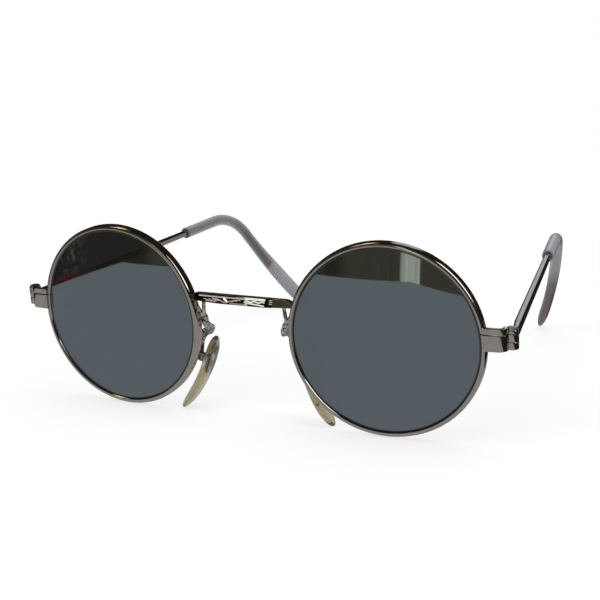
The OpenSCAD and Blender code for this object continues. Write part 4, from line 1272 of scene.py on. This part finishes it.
# A dark red cloth lies along the near end of the table's left edge
first_corner = tuple(v * MM for v in TABLE_CORNERS[0]) + (0,)
corner_gap = add(tree, "ShaderNodeVectorMath", {0: place, 1: first_corner}, operation="DISTANCE")
cloth_end = ease_node(tree, (corner_gap, "Value"), CLOTH_REACH * 0.4 * MM, CLOTH_REACH * MM, 1.0, 0.0)
beside = shader_mix(tree, times(tree, past_cloth, cloth_end),
                    add(tree, "ShaderNodeBsdfTransparent"),
                    add(tree, "ShaderNodeEmission", {"Color": CLOTH_RED}))
seen = shader_mix(tree, inside, beside, add(tree, "ShaderNodeEmission", {"Color": TABLE_GREY}))
# The matt share, which shows the shadow, fades out away from the object
away = add(tree, "ShaderNodeVectorMath", {0: place}, operation="LENGTH")
sheet = shader_mix(tree, ease_node(tree, (away, "Value"), 0.1, 0.26, 0.3, 0.0),
                   add(tree, "ShaderNodeEmission", {"Color": (1, 1, 1, 1)}),
                   add(tree, "ShaderNodeBsdfDiffuse", {"Color": PAPER}))
add(tree, "ShaderNodeOutputMaterial", {"Surface": shader_mix(tree, mirrored_only(tree), sheet, seen)})
floor_mesh.materials.append(paper)
print("floor at", round(floor.location.z, 5))

# %% World
world = bpy.data.worlds.new("room")
bpy.context.scene.world = world
world.use_nodes = True
tree = world.node_tree
tree.nodes.clear()
sky = (add(tree, "ShaderNodeTexCoord"), "Generated")
way = add(tree, "ShaderNodeSeparateXYZ", {"Vector": sky})
azimuth = math_node(tree, "ARCTAN2", (way, "X"), times(tree, (way, "Y"), -1.0))
height = math_node(tree, "ARCSINE", (way, "Z"))


def patch(az, el, az_half, el_half, soft):
    """A mask of a rectangle on the sky, by its middle, half sizes and softness in degrees."""
    az, el, az_half, el_half, soft = (math.radians(v) for v in (az, el, az_half, el_half, soft))
    return times(tree, near_node(tree, azimuth, az, az_half - soft, az_half + soft),
                     near_node(tree, height, el, el_half - soft, el_half + soft))


ROOM, CLUTTER, SHELF = (0.012, 0.0105, 0.007, 1), (0.1, 0.09, 0.07, 1), (0.17, 0.175, 0.15, 1)
clutter = add(tree, "ShaderNodeTexNoise", {"Vector": sky, "Scale": 9.0, "Detail": 3.0})
mixed = colour_mix(tree, ease_node(tree, clutter, 0.5, 0.72, 0.0, 0.15), ROOM, CLUTTER)
folds = add(tree, "ShaderNodeTexNoise", noise_dimensions="1D")
fill(tree, folds, {"W": azimuth, "Scale": 55.0, "Detail": 2.0})
fold_shade = ease_node(tree, folds, 0.3, 0.7, 0.75, 1.1)
# Azimuth, height, half sizes and softness in degrees, then colour and whether it has folds
PATCHES = [((-60, 14, 34, 24, 5.0), (0.034, 0.031, 0.023, 1), False),
           ((-1.5, 14, 24.5, 26, 4.0), (0.098, 0.09, 0.052, 1), False),
           ((-2.5, 18, 3.2, 24, 0.4), (0.95, 0.92, 0.76, 1), True),
           ((1.6, 9, 1.6, 4.5, 0.5), (0.9, 0.87, 0.72, 1), True),
           ((-11.5, 16, 5.5, 24, 2.5), (0.1, 0.09, 0.06, 1), True),
           ((78, 38, 14, 20, 2.0), (2.3, 2.4, 2.6, 1), False),
           ((-75, 64, 22, 4.5, 1.5), (1.1, 0.9, 0.45, 1), False),
           ((-57, 53, 8, 7, 2.0), (1.8, 1.6, 1.1, 1), False),
           ((135, -5, 8, 9, 2.0), (0.26, 0.265, 0.27, 1), False),
           ((-168.5, 22, 6, 8, 1.5), (0.52, 0.57, 0.68, 1), False)]
for spot, tone, folded in PATCHES:
    if folded:
        tone = add(tree, "ShaderNodeVectorMath", {0: tone[:3], "Scale": fold_shade}, operation="SCALE")
    mixed = colour_mix(tree, patch(*spot), mixed, tone)
# Pale odds and ends on a shelf to the left
odds = noise(tree, sky, 26.0, 2.0, 0.6)
on_shelf = times(tree, ease_node(tree, odds, 0.53, 0.6), patch(-74, 4, 19, 12, 5))
mixed = colour_mix(tree, on_shelf, mixed, SHELF)
room_light = add(tree, "ShaderNodeBackground", {"Color": mixed, "Strength": 1.0})
plain_light = add(tree, "ShaderNodeBackground", {"Color": (1, 1, 1, 1), "Strength": 1.0})
fill_light = add(tree, "ShaderNodeBackground", {"Color": (0.95, 0.97, 1.0, 1), "Strength": 0.6})
rays = add(tree, "ShaderNodeLightPath")
unmirrored = shader_mix(tree, (rays, "Is Diffuse Ray"), plain_light, fill_light)
add(tree, "ShaderNodeOutputWorld",
    {"Surface": shader_mix(tree, mirrored_only(tree), unmirrored, room_light)})
print("world patches:", len(PATCHES))


# %% Lamps
def soft_lamp(name, place, size, watts):
    data = bpy.data.lights.new(name, "AREA")
    data.shape, data.size, data.energy = "DISK", size, watts
    lamp = in_scene(name, data)
    lamp.location = place
    lamp.rotation_euler = (-Vector(place)).to_track_quat("-Z", "Y").to_euler()
    lamp.visible_glossy = False
    lamp.visible_camera = False


soft_lamp("soft_top", (0.15, -0.1, 0.9), 0.7, 4.0)
soft_lamp("soft_front", (-0.5, -0.8, 0.6), 0.6, 3.0)
